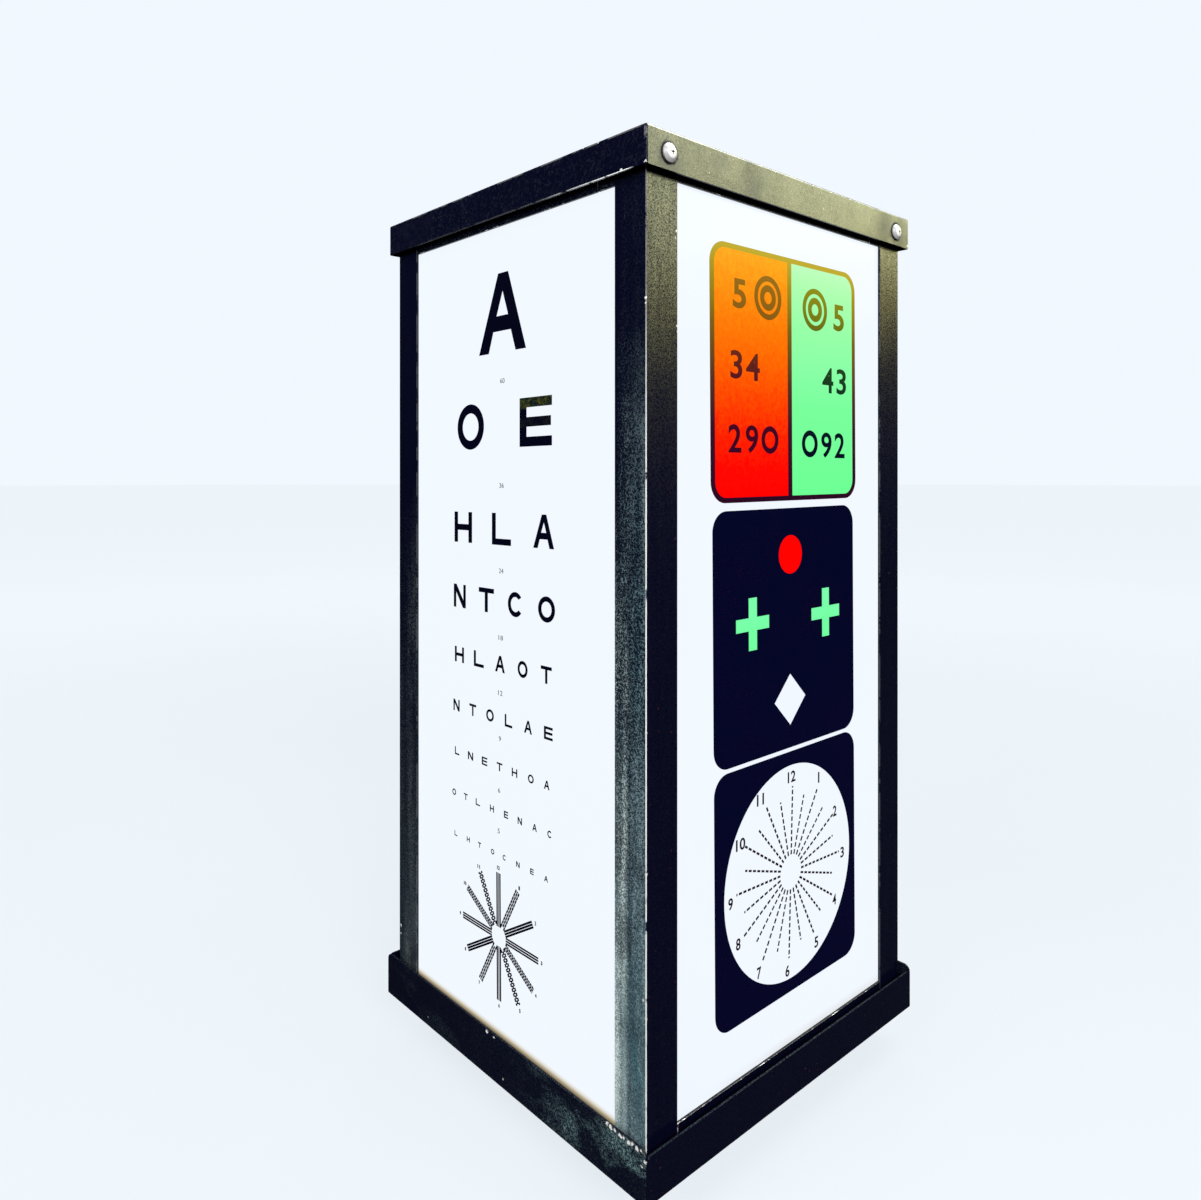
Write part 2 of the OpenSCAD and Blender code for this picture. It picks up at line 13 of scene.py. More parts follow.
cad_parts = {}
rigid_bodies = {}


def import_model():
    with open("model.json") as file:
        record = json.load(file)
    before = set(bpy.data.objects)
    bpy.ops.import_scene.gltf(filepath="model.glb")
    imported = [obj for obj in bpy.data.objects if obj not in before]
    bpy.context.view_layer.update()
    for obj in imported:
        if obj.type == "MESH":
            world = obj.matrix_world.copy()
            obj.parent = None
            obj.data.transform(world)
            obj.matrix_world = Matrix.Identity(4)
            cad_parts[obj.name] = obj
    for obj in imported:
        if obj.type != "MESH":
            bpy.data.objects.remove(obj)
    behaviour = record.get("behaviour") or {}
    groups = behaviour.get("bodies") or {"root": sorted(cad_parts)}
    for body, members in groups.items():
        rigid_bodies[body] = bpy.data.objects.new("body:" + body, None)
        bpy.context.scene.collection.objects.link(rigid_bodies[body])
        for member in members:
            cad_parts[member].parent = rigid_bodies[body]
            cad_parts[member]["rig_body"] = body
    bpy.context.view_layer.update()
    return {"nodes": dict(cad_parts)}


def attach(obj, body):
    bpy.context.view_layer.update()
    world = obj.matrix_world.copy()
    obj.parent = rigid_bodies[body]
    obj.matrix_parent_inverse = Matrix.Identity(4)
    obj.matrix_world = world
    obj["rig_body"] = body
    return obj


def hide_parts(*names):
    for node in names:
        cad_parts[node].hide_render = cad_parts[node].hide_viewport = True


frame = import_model()
NODES = frame["nodes"]
MM = 0.001
TRAY_Z = 32.0
random.seed(7)
scene = bpy.context.scene

# ---------------------------------------------------------------- camera
cam_data = bpy.data.cameras.new("camera")
cam_data.sensor_fit = "HORIZONTAL"
cam_data.sensor_width = 36.0
cam_data.lens = 27.13
cam_data.shift_x = 0.0
cam_data.shift_y = -0.1022
cam_data.clip_start = 0.01
cam_data.clip_end = 200
camera = bpy.data.objects.new("camera", cam_data)
camera.location = (0.5321, -0.5340, 0.4665)
camera.rotation_euler = (math.radians(90), 0, math.radians(47.742))
scene.collection.objects.link(camera)
scene.camera = camera
scene.view_settings.view_transform = "Standard"
scene.view_settings.look = "None"


# ---------------------------------------------------------------- colour
def lin(r, g, b):
    """8-bit display colour to linear."""
    out = []
    for c in (r, g, b):
        c /= 255.0
        out.append(c / 12.92 if c <= 0.04045 else ((c + 0.055) / 1.055) ** 2.4)
    return (*out, 1.0)


# ---------------------------------------------------------------- materials
class Mat:
    def __init__(self, name):
        self.m = bpy.data.materials.new(name)
        self.m.use_nodes = True
        self.t = self.m.node_tree
        self.t.nodes.clear()
        self.out = self.add("ShaderNodeOutputMaterial")
        self.b = self.add("ShaderNodeBsdfPrincipled")
        self.t.links.new(self.b.outputs[0], self.out.inputs["Surface"])
        self._tc = None

    def add(self, kind, **props):
        n = self.t.nodes.new(kind)
        for k, v in props.items():
            setattr(n, k, v)
        return n

    def put(self, socket, x):
        if isinstance(x, bpy.types.NodeSocket):
            self.t.links.new(x, socket)
        else:
            socket.default_value = x

    def set(self, **kw):
        names = {"base": "Base Color", "rough": "Roughness", "metal": "Metallic", "spec": "Specular IOR Level",
                 "coat": "Coat Weight", "coat_rough": "Coat Roughness", "emit": "Emission Color",
                 "power": "Emission Strength", "normal": "Normal", "sss": "Subsurface Weight", "ior": "IOR",
                 "trans": "Transmission Weight", "coat_ior": "Coat IOR", "alpha": "Alpha"}
        for k, v in kw.items():
            self.put(self.b.inputs[names[k]], v)
        return self

    def tc(self, which):
        if self._tc is None:
            self._tc = self.add("ShaderNodeTexCoord")
        return self._tc.outputs[which]

    def co(self):
        return self.tc("Object")

    def sep(self, v):
        n = self.add("ShaderNodeSeparateXYZ")
        self.put(n.inputs[0], v)
        return n.outputs

    def math(self, op, a, b=0.0, c=0.0, clamp=False):
        n = self.add("ShaderNodeMath", operation=op, use_clamp=clamp)
        self.put(n.inputs[0], a)
        self.put(n.inputs[1], b)
        self.put(n.inputs[2], c)
        return n.outputs[0]

    def add_len(self):
        """Distance from the origin."""
        n = self.add("ShaderNodeVectorMath", operation="LENGTH")
        self.put(n.inputs[0], self.co())
        return n.outputs["Value"]

    def mul(self, a, b):
        return self.math("MULTIPLY", a, b)

    def plus(self, a, b):
        return self.math("ADD", a, b)

    def rng(self, v, a, b, c=0.0, d=1.0, smooth=False):
        n = self.add("ShaderNodeMapRange", clamp=True)
        if smooth:
            n.interpolation_type = "SMOOTHSTEP"
        self.put(n.inputs["Value"], v)
        for k, x in (("From Min", a), ("From Max", b), ("To Min", c), ("To Max", d)):
            n.inputs[k].default_value = x
        return n.outputs[0]

    def noise(self, scale, detail=2.0, rough=0.5, shift=(0, 0, 0), stretch=(1, 1, 1), distort=0.0, out=0, v=None):
        mp = self.add("ShaderNodeMapping")
        self.put(mp.inputs["Vector"], v or self.co())
        mp.inputs["Location"].default_value = shift
        mp.inputs["Scale"].default_value = stretch
        n = self.add("ShaderNodeTexNoise")
        self.put(n.inputs["Vector"], mp.outputs[0])
        n.inputs["Scale"].default_value = scale
        n.inputs["Detail"].default_value = detail
        n.inputs["Roughness"].default_value = rough
        n.inputs["Distortion"].default_value = distort
        return n.outputs[out]

    def voronoi(self, scale, shift=(0, 0, 0), feature="F1"):
        mp = self.add("ShaderNodeMapping")
        self.put(mp.inputs["Vector"], self.co())
        mp.inputs["Location"].default_value = shift
        n = self.add("ShaderNodeTexVoronoi", feature=feature)
        self.put(n.inputs["Vector"], mp.outputs[0])
        n.inputs["Scale"].default_value = scale
        return n.outputs["Distance"]

    def ramp(self, fac, stops, mode="LINEAR"):
        n = self.add("ShaderNodeValToRGB")
        n.color_ramp.interpolation = mode
        e = n.color_ramp.elements
        while len(e) < len(stops):
            e.new(0.5)
        for el, (p, c) in zip(e, stops):
            el.position = p
            el.color = c if len(c) == 4 else (*c, 1)
        self.put(n.inputs[0], fac)
        return n.outputs[0]

    def mix(self, fac, a, b):
        n = self.add("ShaderNodeMix", data_type="RGBA")
        self.put(n.inputs[0], fac)
        self.put(n.inputs[6], a)
        self.put(n.inputs[7], b)
        return n.outputs[2]

    def bump(self, height, strength=0.3, distance=0.0002, normal=None):
        n = self.add("ShaderNodeBump")
        n.inputs["Strength"].default_value = strength
        n.inputs["Distance"].default_value = distance
        self.put(n.inputs["Height"], height)
        if normal is not None:
            self.put(n.inputs["Normal"], normal)
        return n.outputs[0]

    def spots(self, pts, wobble=0.0016, soft=0.0006):
        """1 inside ragged spots (x, y, z, radius), 0 outside."""
        jig = self.noise(420, 2, 0.6, out=1)
        off = self.add("ShaderNodeVectorMath", operation="SUBTRACT")
        self.put(off.inputs[0], jig)
        off.inputs[1].default_value = (0.5, 0.5, 0.5)
        sc = self.add("ShaderNodeVectorMath", operation="SCALE")
        self.put(sc.inputs[0], off.outputs[0])
        sc.inputs["Scale"].default_value = wobble * 2
        ad = self.add("ShaderNodeVectorMath", operation="ADD")
        self.put(ad.inputs[0], self.co())
        self.put(ad.inputs[1], sc.outputs[0])
        total = None
        for x, y, z, r in pts:
            d = self.add("ShaderNodeVectorMath", operation="DISTANCE")
            self.put(d.inputs[0], ad.outputs[0])
            d.inputs[1].default_value = (x, y, z)
            one = self.rng(d.outputs["Value"], r + soft / 2, r - soft / 2)
            total = one if total is None else self.math("MAXIMUM", total, one)
        return total


BLACK = (0.0010, 0.0014, 0.0085, 1)
STEEL = (0.62, 0.63, 0.60, 1)
SCREWS = [(sx * 0.1525, y, 0.664, 0.0080) for sx in (1, -1) for y in (-0.1325, 0.1325)]
HALOS = [(sx * 0.1525, y, 0.660, 0.0190) for sx in (1, -1) for y in (-0.1325, 0.1350)]


def band(M, v, a, b, soft):
    """1 between a and b, fading over soft at both ends."""
    return M.mul(M.rng(v, a - soft, a + soft), M.rng(v, b + soft, b - soft))


def enamel(name, kind="case", wear=0.0, spots=None):
    """Old black stoving enamel: fine grain, scuffed to grey-green on the letter-chart side, glossier on the others."""
    M = Mat(name)
    x, y, z = M.sep(M.co())
    nx, ny, nz = M.sep(M.tc("Normal"))
    front = M.mul(M.rng(ny, -0.35, -0.9, smooth=True), M.rng(y, -0.10, -0.13))
    side = M.rng(nx, 0.35, 0.9, smooth=True)
    grain = M.noise(600, 3.0, 0.78)
    fine = M.noise(1350, 1.5, 0.6, shift=(3, 1, 2))
    blot = M.noise(38, 4, 0.62, shift=(1.3, 0.2, 0.7))
    streak = M.noise(60, 3, 0.6, shift=(0.4, 2, 0), stretch=(1, 1, 0.09))
    cloud = M.rng(blot, 0.34, 0.58)
    near = M.rng(x, 0.02, 0.12)
    rest = M.math("SUBTRACT", 1.0, M.math("MAXIMUM", front, side, clamp=True), clamp=True)
    grey = M.mix(M.rng(streak, 0.36, 0.64), (0.16, 0.26, 0.28, 1), (0.58, 0.70, 0.68, 1))
    # scuffing to a dusty grey-green: fine specks, closing to a film low down
    if kind == "post":
        low = M.plus(M.mul(M.rng(z, 0.56, 0.37), 0.80), M.mul(M.rng(z, 0.24, 0.11), 0.60))
        # rubbed bands up the flange: grey-green left of the middle, darker teal towards the corner
        right = M.rng(x, 0.1285, 0.1345)
        bands = M.math("MAXIMUM", band(M, x, 0.1235, 0.1310, 0.0035), M.mul(right, 0.62))
        bands = M.math("MAXIMUM", bands, M.mul(M.rng(x, 0.1300, 0.1210), M.rng(z, 0.47, 0.33)))
        grey = M.mix(right, grey, M.mix(M.rng(streak, 0.36, 0.64), (0.085, 0.190, 0.220, 1), (0.300, 0.430, 0.460, 1)))
        amount = M.mul(M.mul(front, bands), M.mul(M.plus(M.mul(low, 1.25), 0.03), M.plus(M.mul(near, 0.90), 0.10)))
        fill = M.plus(M.mul(M.rng(z, 0.34, 0.08), 0.40), 0.05)
        speck = M.math("MAXIMUM", M.rng(M.plus(M.mul(M.plus(M.mul(grain, 0.5), M.mul(fine, 0.5)), 0.8), M.mul(streak, 0.2)), 0.488, 0.562), M.mul(fill, M.rng(fine, 0.25, 0.7, 0.5, 1.3)))
    elif kind == "tray":
        grey = M.mix(M.rng(grain, 0.40, 0.60), (0.07, 0.19, 0.20, 1), (0.34, 0.52, 0.52, 1))
        smear = M.noise(30, 5, 0.66, shift=(0.7, 3, 1), stretch=(0.45, 1, 1.1), distort=0.4)
        patch = M.mul(M.rng(smear, 0.49, 0.60), M.plus(M.rng(x, 0.02, 0.14), 0.06))
        amount = M.mul(front, M.plus(M.mul(patch, 0.75), M.mul(M.rng(x, -0.12, 0.10), 0.035)))
        speck = M.plus(M.mul(M.rng(M.plus(M.mul(grain, 0.4), M.mul(fine, 0.6)), 0.46, 0.58, smooth=True), 0.80), 0.06)
    elif kind == "lid":
        amount = M.mul(front, 0.02)
        speck = M.rng(grain, 0.53, 0.60, smooth=True)
    else:
        amount = M.mul(front, 0.06)
        speck = M.rng(grain, 0.53, 0.60, smooth=True)
    amount = M.plus(amount, M.mul(rest, {"rail": 0.03, "stand": 0.16}.get(kind, 0.07)))
    fac = M.mul(amount, M.mul(speck, M.plus(M.mul(cloud, 0.5), 0.5)))
    col = M.mix(fac, BLACK if kind != "stand" else (0.0050, 0.0056, 0.0080, 1), grey)
    # a few rust-brown pinpricks on the sides
    rusty = M.mul(M.rng(M.noise(300, 2, 0.6, shift=(5, 5, 5)), 0.69, 0.73), M.mul(M.rng(blot, 0.45, 0.6), M.plus(M.mul(side, 0.7), 0.3)))
    col = M.mix(M.mul(rusty, 0.7), col, (0.10, 0.028, 0.014, 1))
    metal = 0.0
    if wear > 0:
        long_noise = M.noise(46, 5, 0.68, shift=(2.2, 0, 4), distort=0.5)
        worn = M.rng(long_noise, 0.62 - 0.14 * wear, 0.66 - 0.14 * wear)
        if kind == "post":
            corner = M.mul(M.rng(x, 0.142, 0.1455), M.rng(y, -0.142, -0.1455))
            line = M.mul(M.mul(corner, M.rng(z, 0.585, 0.45, 0.12, 1.0)), M.rng(long_noise, 0.36, 0.42))
            worn = M.math("MAXIMUM", line, M.mul(worn, 0.05))
        elif kind == "lid":
            worn = M.mul(worn, 0.14)
        elif kind == "tray":
            lip = M.mul(M.rng(z, 0.0653, 0.0657), M.rng(y, -0.1520, -0.1525))
            line = M.math("MAXIMUM", M.mul(band(M, x, 0.046, 0.098, 0.006), 0.9), band(M, x, 0.116, 0.152, 0.004))
            hot = M.mul(M.mul(lip, line), M.rng(long_noise, 0.36, 0.44))
            worn = M.math("MAXIMUM", M.mul(worn, 0.16), hot)
        col = M.mix(worn, col, (0.80, 0.82, 0.80, 1) if kind == "post" else STEEL)
        metal = M.mul(worn, 0.30)
    if kind == "lid":
        # the front skirt's lower edge is rubbed to bright metal, most of all near the corner
        under = M.mul(M.mul(M.rng(z, 0.65420, 0.65395), M.rng(y, -0.1508, -0.1512)), M.rng(M.noise(70, 4, 0.65), 0.40, 0.47))
        under = M.mul(under, M.mul(M.plus(M.rng(x, -0.13, 0.05, 0.0, 0.07), M.rng(x, 0.05, 0.115, 0.0, 0.90)),
                                    M.rng(x, 0.142, 0.136)))
        col = M.mix(under, col, (0.80, 0.82, 0.80, 1))
    if spots:
        s = M.spots(spots)
        col = M.mix(s, col, (0.72, 0.72, 0.68, 1))
    rough = M.plus(M.mul(M.plus(M.mul(fine, 0.6), M.mul(grain, 0.4)), 0.18), 0.16)
    rough = M.plus(rough, M.mul(fac, 0.45))
    if kind == "lid":
        # cloudy dulling of the gloss; painted shadow: the enamel round each screw head is painted near-black and made
        # rough, and a wider halo round it is roughened to dull the gloss
        dull = M.mul(M.rng(M.noise(16, 4, 0.6, shift=(3, 2, 9)), 0.50, 0.72), 0.22)
        painted_screw_shadow = M.spots(SCREWS, wobble=0.0012, soft=0.003)
        halo = M.spots(HALOS, wobble=0.004, soft=0.026)
        col = M.mix(M.mul(painted_screw_shadow, 0.8), col, (0.004, 0.003, 0.003, 1))
        rough = M.plus(rough, dull)
        rough = M.math("MAXIMUM", rough, M.math("MAXIMUM", M.mul(painted_screw_shadow, 0.95), M.mul(halo, 0.42)))
    height = M.plus(M.mul(grain, 0.7), M.mul(fine, 0.5))
    # the gloss is pitted: dark grains in the reflection, with faint upright streaks on the posts
    lo, hi = {"lid": (0.18, 0.44), "stand": (0.40, 0.62)}.get(kind, (0.06, 0.46))
    sheen = M.rng(M.plus(M.mul(grain, 0.35), M.mul(fine, 0.65)), 0.42, 0.57, lo, hi)
    if kind == "post":
        sheen = M.mul(sheen, M.rng(M.noise(150, 3, 0.6, shift=(9, 2, 0), stretch=(1, 1, 0.10)), 0.35, 0.65, 0.72, 1.12))
    elif kind == "lid":
        sheen = M.mul(sheen, M.rng(blot, 0.30, 0.66, 1.12, 0.80))
    elif kind == "tray":
        top_edge = M.mul(M.rng(nz, 0.2, 0.7), M.rng(z, 0.050, 0.055))
        sheen = M.mul(sheen, M.math("SUBTRACT", 1.0, M.mul(top_edge, 0.75)))
        rough = M.plus(rough, M.mul(top_edge, 0.25))
    if kind == "lid":
        sheen = M.mul(sheen, M.rng(nz, 0.60, 0.95, 1.0, 0.16))
    M.set(base=col, rough=rough, metal=metal, spec=sheen, normal=M.bump(height, 0.22, 0.00025))
    return M.m


def metal(name, color, rough=0.28, grain=400, stretch=(1, 1, 1), dirt=0.3, bump=0.12, tint=None):
    M = Mat(name)
    g = M.noise(grain, 3, 0.6, stretch=stretch)
    big = M.noise(60, 4, 0.6, shift=(1, 2, 3))
    c = M.mix(M.rng(big, 0.35, 0.72, 0, dirt), color, tint or tuple(v * 0.35 for v in color[:3]) + (1,))
    M.set(base=c, metal=1.0, rough=M.rng(g, 0.25, 0.8, rough * 0.8, rough * 1.5), normal=M.bump(g, bump, 0.00012))
    return M.m


def screw_metal():
    """Bright nickel dulled white, with painted shade: the cross recess near-black and the rim of the head darkened."""
    M = Mat("screw_nickel")
    x, y, z = M.sep(M.co())
    g = M.noise(700, 3, 0.6)
    deep = M.rng(M.math("ABSOLUTE", x), 0.1553, 0.1549)
    yy = M.math("SUBTRACT", M.math("ABSOLUTE", y), 0.1325)
    zz = M.math("SUBTRACT", z, 0.664)
    r = M.math("SQRT", M.plus(M.mul(yy, yy), M.mul(zz, zz)))
    arms = M.rng(M.math("MINIMUM", M.math("ABSOLUTE", yy), M.math("ABSOLUTE", zz)), 0.00055, 0.00040)
    # painted shade: the cross recess goes near-black, and past 4 mm from each screw's axis, over the rim of the dome
    # head, the colour is mixed 55% towards it
    hole = M.math("MAXIMUM", M.mul(deep, M.rng(r, 0.0022, 0.0018)), M.mul(arms, M.rng(r, 0.0020, 0.0016)))
    hole = M.math("MAXIMUM", hole, M.mul(M.rng(r, 0.0034, 0.0040), 0.55))
    c = M.mix(M.rng(M.noise(220, 4, 0.6), 0.45, 0.75, 0, 0.35), (0.92, 0.92, 0.90, 1), (0.42, 0.40, 0.36, 1))
    c = M.mix(hole, c, (0.02, 0.02, 0.02, 1))
    M.set(base=c, metal=0.16, rough=M.rng(g, 0.25, 0.8, 0.24, 0.40), normal=M.bump(g, 0.1, 0.0001))
    return M.m


def plastic(name, color, rough=0.4, dirt=0.25, grain=500, bump=0.08, spec=0.5):
    M = Mat(name)
    g = M.noise(grain, 3, 0.6)
    big = M.noise(45, 4, 0.65, shift=(4, 1, 7))
    c = M.mix(M.rng(big, 0.4, 0.75, 0, dirt), color, tuple(v * 0.45 for v in color[:3]) + (1,))
    M.set(base=c, rough=M.rng(g, 0.2, 0.8, rough * 0.85, rough * 1.25), spec=spec, normal=M.bump(g, bump, 0.00015))
    return M.m


def worn_ink(name):
    """Chart ink with a painted reflection: the E's top bar, and a little of its middle one, is painted a patchy olive.
    """
    M = Mat(name)
    x, y, z = M.sep(M.co())
    fleck = M.noise(620, 3, 0.75)
    patch = M.noise(150, 3, 0.6, shift=(2, 0, 5))
    # painted reflection: patchy olive on the E's top bar, fainter on its middle bar
    bars = M.plus(band(M, z, 0.5152, 0.5245, 0.0012), M.mul(band(M, z, 0.5015, 0.5085, 0.0010), 0.14))
    k = M.mul(M.mul(bars, M.rng(x, 0.0135, 0.0150)), M.rng(fleck, 0.38, 0.66))
    olive = M.mix(M.rng(patch, 0.4, 0.6), lin(24, 44, 30), lin(74, 78, 26))
    g = M.noise(300, 3, 0.6)
    M.set(base=M.mix(k, (0.0008, 0.0010, 0.007, 1), olive), rough=M.rng(g, 0.2, 0.8, 0.425, 0.625), spec=0.08,
          normal=M.bump(g, 0.03, 0.00015))
    return M.m


def opal(name, front=False):
    """Opal acrylic whose glow is painted emission for the lamps' light through it: even cool white, with painted shade
    making it dimmer and warmer in the last centimetre above the sill.
    """
    M = Mat(name)
    x, y, z = M.sep(M.co())
    haze = M.noise(9, 3, 0.5)
    # painted shade: the front panel's emission darkens to brown over the centimetre above the sill
    glow = M.ramp(M.rng(z, 0.0545, 0.0645), [(0.0, lin(34, 26, 16)), (0.34, lin(98, 82, 56)), (0.56, lin(176, 162, 130)),
                                              (0.78, lin(228, 226, 216)), (1.0, lin(241, 248, 255))])
    if not front:
        # painted shade: the other panels' emission turns grey over the last centimetre above the sill
        glow = M.mix(M.rng(z, 0.060, 0.070, smooth=True), lin(214, 212, 212), lin(241, 248, 255))
    tone = M.mix(M.rng(haze, 0.3, 0.7), glow, lin(239, 246, 254))
    M.set(base=(0.035, 0.035, 0.038, 1), emit=tone if not front else glow, power=0.965, rough=0.16, spec=0.035,
          normal=M.bump(M.noise(22, 2, 0.5), 0.04, 0.0003))
    return M.m


def lit_film(name, stops, grain=0.0, grain_scale=420, tint=(0, 0, 0, 1), z0=0.449, z1=0.621, power=1.0, gloss=0.2):
    """Coloured film with the lamps behind it, its glow painted as emission. stops run from the field's bottom (0) to
    its top (1).
    """
    M = Mat(name)
    x, y, z = M.sep(M.co())
    n = M.noise(grain_scale, 3, 0.7)
    h = M.rng(z, z0, z1)
    if grain:
        h = M.plus(h, M.mul(M.math("SUBTRACT", n, 0.5), grain))
    c = M.ramp(h, stops)
    M.set(base=tint, emit=c, power=power, rough=gloss, spec=0.02)
    return M.m


INK = None
MATS = {}
FLECKS = [(0.1310, -0.1525, 0.6536, 0.0014), (0.1280, -0.1525, 0.6534, 0.0009), (0.1100, -0.1525, 0.6770, 0.0006),
          (0.0960, -0.1525, 0.6774, 0.0006), (0.1520, -0.1525, 0.6545, 0.0009), (0.1525, -0.0950, 0.6600, 0.0004),
          (0.1525, 0.0310, 0.6620, 0.0004), (0.1525, 0.1500, 0.6560, 0.0008)]
MATS["enamel_lid"] = enamel("enamel_lid", "lid", spots=FLECKS)
MATS["enamel_lid_edge"] = enamel("enamel_lid_edge", "lid", wear=0.9, spots=FLECKS)
CHIPS = [(-0.0095, -0.1532, 0.0640, 0.0010), (-0.0008, -0.1532, 0.0638, 0.0009), (0.0101, -0.1532, 0.0394, 0.0007),
         (-0.0900, -0.1532, 0.0392, 0.0006), (0.1190, -0.1532, 0.0652, 0.0012), (0.1222, -0.1532, 0.0646, 0.0013),
         (0.1263, -0.1532, 0.0648, 0.0010), (0.1310, -0.1532, 0.0640, 0.0014), (0.1338, -0.1532, 0.0645, 0.0010),
         (0.1385, -0.1532, 0.0638, 0.0015), (0.1412, -0.1532, 0.0648, 0.0010), (0.1455, -0.1532, 0.0642, 0.0014),
         (0.1490, -0.1532, 0.0648, 0.0009), (0.1522, -0.1532, 0.0600, 0.0012), (0.1495, -0.1532, 0.0555, 0.0007)]
MATS["enamel_tray"] = enamel("enamel_tray", "tray", spots=CHIPS)
MATS["enamel_tray_edge"] = enamel("enamel_tray_edge", "tray", wear=1.0, spots=CHIPS)
NICKS = [(0.1464, -0.1464, 0.5750, 0.0010), (0.1464, -0.1464, 0.5715, 0.0006), (0.1464, -0.1464, 0.2265, 0.0011),
         (0.1464, -0.1464, 0.1390, 0.0010), (0.1464, -0.1464, 0.3120, 0.0007), (0.1464, -0.1464, 0.4400, 0.0006),
         (0.1464, -0.1185, 0.5610, 0.0009), (0.1464, -0.1185, 0.5575, 0.0006), (0.1464, -0.1195, 0.6200, 0.0006),
         (0.1464, -0.1205, 0.6160, 0.0006), (0.1440, -0.1464, 0.1500, 0.0008), (-0.1440, -0.1464, 0.0900, 0.0008),
         (-0.1440, -0.1464, 0.0830, 0.0006)]
MATS["enamel_post"] = enamel("enamel_post", "post", spots=NICKS)
MATS["enamel_post_edge"] = enamel("enamel_post_edge", "post", wear=1.1, spots=NICKS)
MATS["enamel_rail"] = enamel("enamel_rail", "rail")
MATS["enamel_rail_edge"] = enamel("enamel_rail_edge", "rail", wear=0.35)
MATS["opal_front"] = opal("opal_front", True)
MATS["opal"] = opal("opal")
MATS["screw"] = screw_metal()
MATS["steel"] = metal("bright_steel", (0.62, 0.63, 0.64, 1), 0.25, grain=900, stretch=(1, 1, 0.1))
MATS["zinc"] = metal("zinc_steel", (0.50, 0.52, 0.54, 1), 0.38, grain=90, dirt=0.45)
MATS["plain"] = metal("plain_steel", (0.38, 0.38, 0.37, 1), 0.40, dirt=0.5)
MATS["brass"] = metal("brass", (0.66, 0.44, 0.17, 1), 0.30, dirt=0.5)
MATS["alu"] = metal("aluminium", (0.70, 0.71, 0.72, 1), 0.34, grain=700, stretch=(1, 1, 0.06))
MATS["cover"] = metal("cover_steel", (0.20, 0.21, 0.21, 1), 0.45, dirt=0.6)
MATS["rubber"] = plastic("rubber", (0.016, 0.016, 0.017, 1), 0.75, bump=0.3)
MATS["white"] = plastic("white_plastic", (0.74, 0.73, 0.68, 1), 0.34, dirt=0.12)
MATS["black"] = plastic("black_plastic", (0.012, 0.012, 0.013, 1), 0.42, bump=0.2)
MATS["cream"] = plastic("cream_enamel", (0.66, 0.62, 0.50, 1), 0.38, dirt=0.2)
MATS["pvc"] = plastic("lead_pvc", (0.66, 0.63, 0.55, 1), 0.4, dirt=0.2)
MATS["brown"] = plastic("lead_brown", (0.16, 0.062, 0.03, 1), 0.42, dirt=0.2)
MATS["stand"] = enamel("enamel_stand", "stand")
MATS["stand_edge"] = enamel("enamel_stand_edge", "stand", wear=0.4)
MATS["ink"] = plastic("chart_ink", (0.0008, 0.0010, 0.007, 1), 0.5, dirt=0.0, grain=300, bump=0.03, spec=0.08)
MATS["ink_worn"] = worn_ink("chart_ink_worn")
MATS["ink_grey"] = plastic("label_ink", (0.075, 0.080, 0.10, 1), 0.6, dirt=0.0)
MATS["ink_fan"] = plastic("fan_ink", (0.010, 0.004, 0.009, 1), 0.5, dirt=0.0, spec=0.08)


def lamp_glass():
    M = Mat("lamp_glass")
    x, y, z = M.sep(M.co())
    ends = M.math("MAXIMUM", M.rng(z, 0.160, 0.137), M.rng(z, 0.546, 0.569))
    c = M.mix(ends, lin(250, 252, 255), lin(196, 182, 160))
    M.set(base=(0.75, 0.76, 0.76, 1), emit=c, power=2.2, rough=0.15)
    return M.m


MATS["glass"] = lamp_glass()


# ---------------------------------------------------------------- mesh helpers
def finish_mesh(name, bm, mats, body, replaces=(), smooth=30, doubles=True, weighted=False):
    if doubles:
        bmesh.ops.remove_doubles(bm, verts=bm.verts, dist=1e-7)
    me = bpy.data.meshes.new(name)
    bm.to_mesh(me)
    bm.free()
    for m in mats:
        me.materials.append(m)
    o = bpy.data.objects.new(name, me)
    scene.collection.objects.link(o)
    if smooth:
        for p in me.polygons:
            p.use_smooth = True
        me.set_sharp_from_angle(angle=math.radians(smooth))
    if weighted:
        md = o.modifiers.new("wn", "WEIGHTED_NORMAL")
        md.keep_sharp = True
        md.weight = 80
        dg = bpy.context.evaluated_depsgraph_get()
        new = bpy.data.meshes.new_from_object(o.evaluated_get(dg))
        o.modifiers.clear()
        o.data = new
        bpy.data.meshes.remove(me)
        new.name = name
    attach(o, body)
    if replaces:
        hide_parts(*replaces)
    return o


def body_of(node):
    return NODES[node]["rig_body"]


def clean_bm(node):
    bm = bmesh.new()
    bm.from_mesh(NODES[node].data)
    bmesh.ops.remove_doubles(bm, verts=bm.verts, dist=2e-6)
    bmesh.ops.dissolve_limit(bm, angle_limit=math.radians(0.4), verts=bm.verts, edges=bm.edges,
                             delimit=set())
    return bm


def bevel(bm, test, width, segs, mat):
    edges = [e for e in bm.edges if len(e.link_faces) == 2 and e.is_manifold
             and e.calc_face_angle(0) > math.radians(34) and test(e)]
    if edges:
        bmesh.ops.bevel(bm, geom=edges, offset=width, offset_type="OFFSET", segments=segs, profile=0.5,
                        affect="EDGES", clamp_overlap=True, material=mat)


def dress(node, mat, edge=None, width=0.0004, segs=2, steps=None, smooth=42):
    """A copy of the CAD node with softened edges; the softened faces take the edge material."""
    bm = clean_bm(node)
    if steps:
        for test, w, s in steps:
            bevel(bm, test, w, s, 1)
    else:
        bevel(bm, lambda e: True, width, segs, 1)
    o = finish_mesh(node + "_looks", bm, [mat, edge or mat], body_of(node), (node,), smooth=smooth,
                    doubles=False, weighted=True)
    return o


def both(e, f):
    return f(e.verts[0].co) and f(e.verts[1].co)


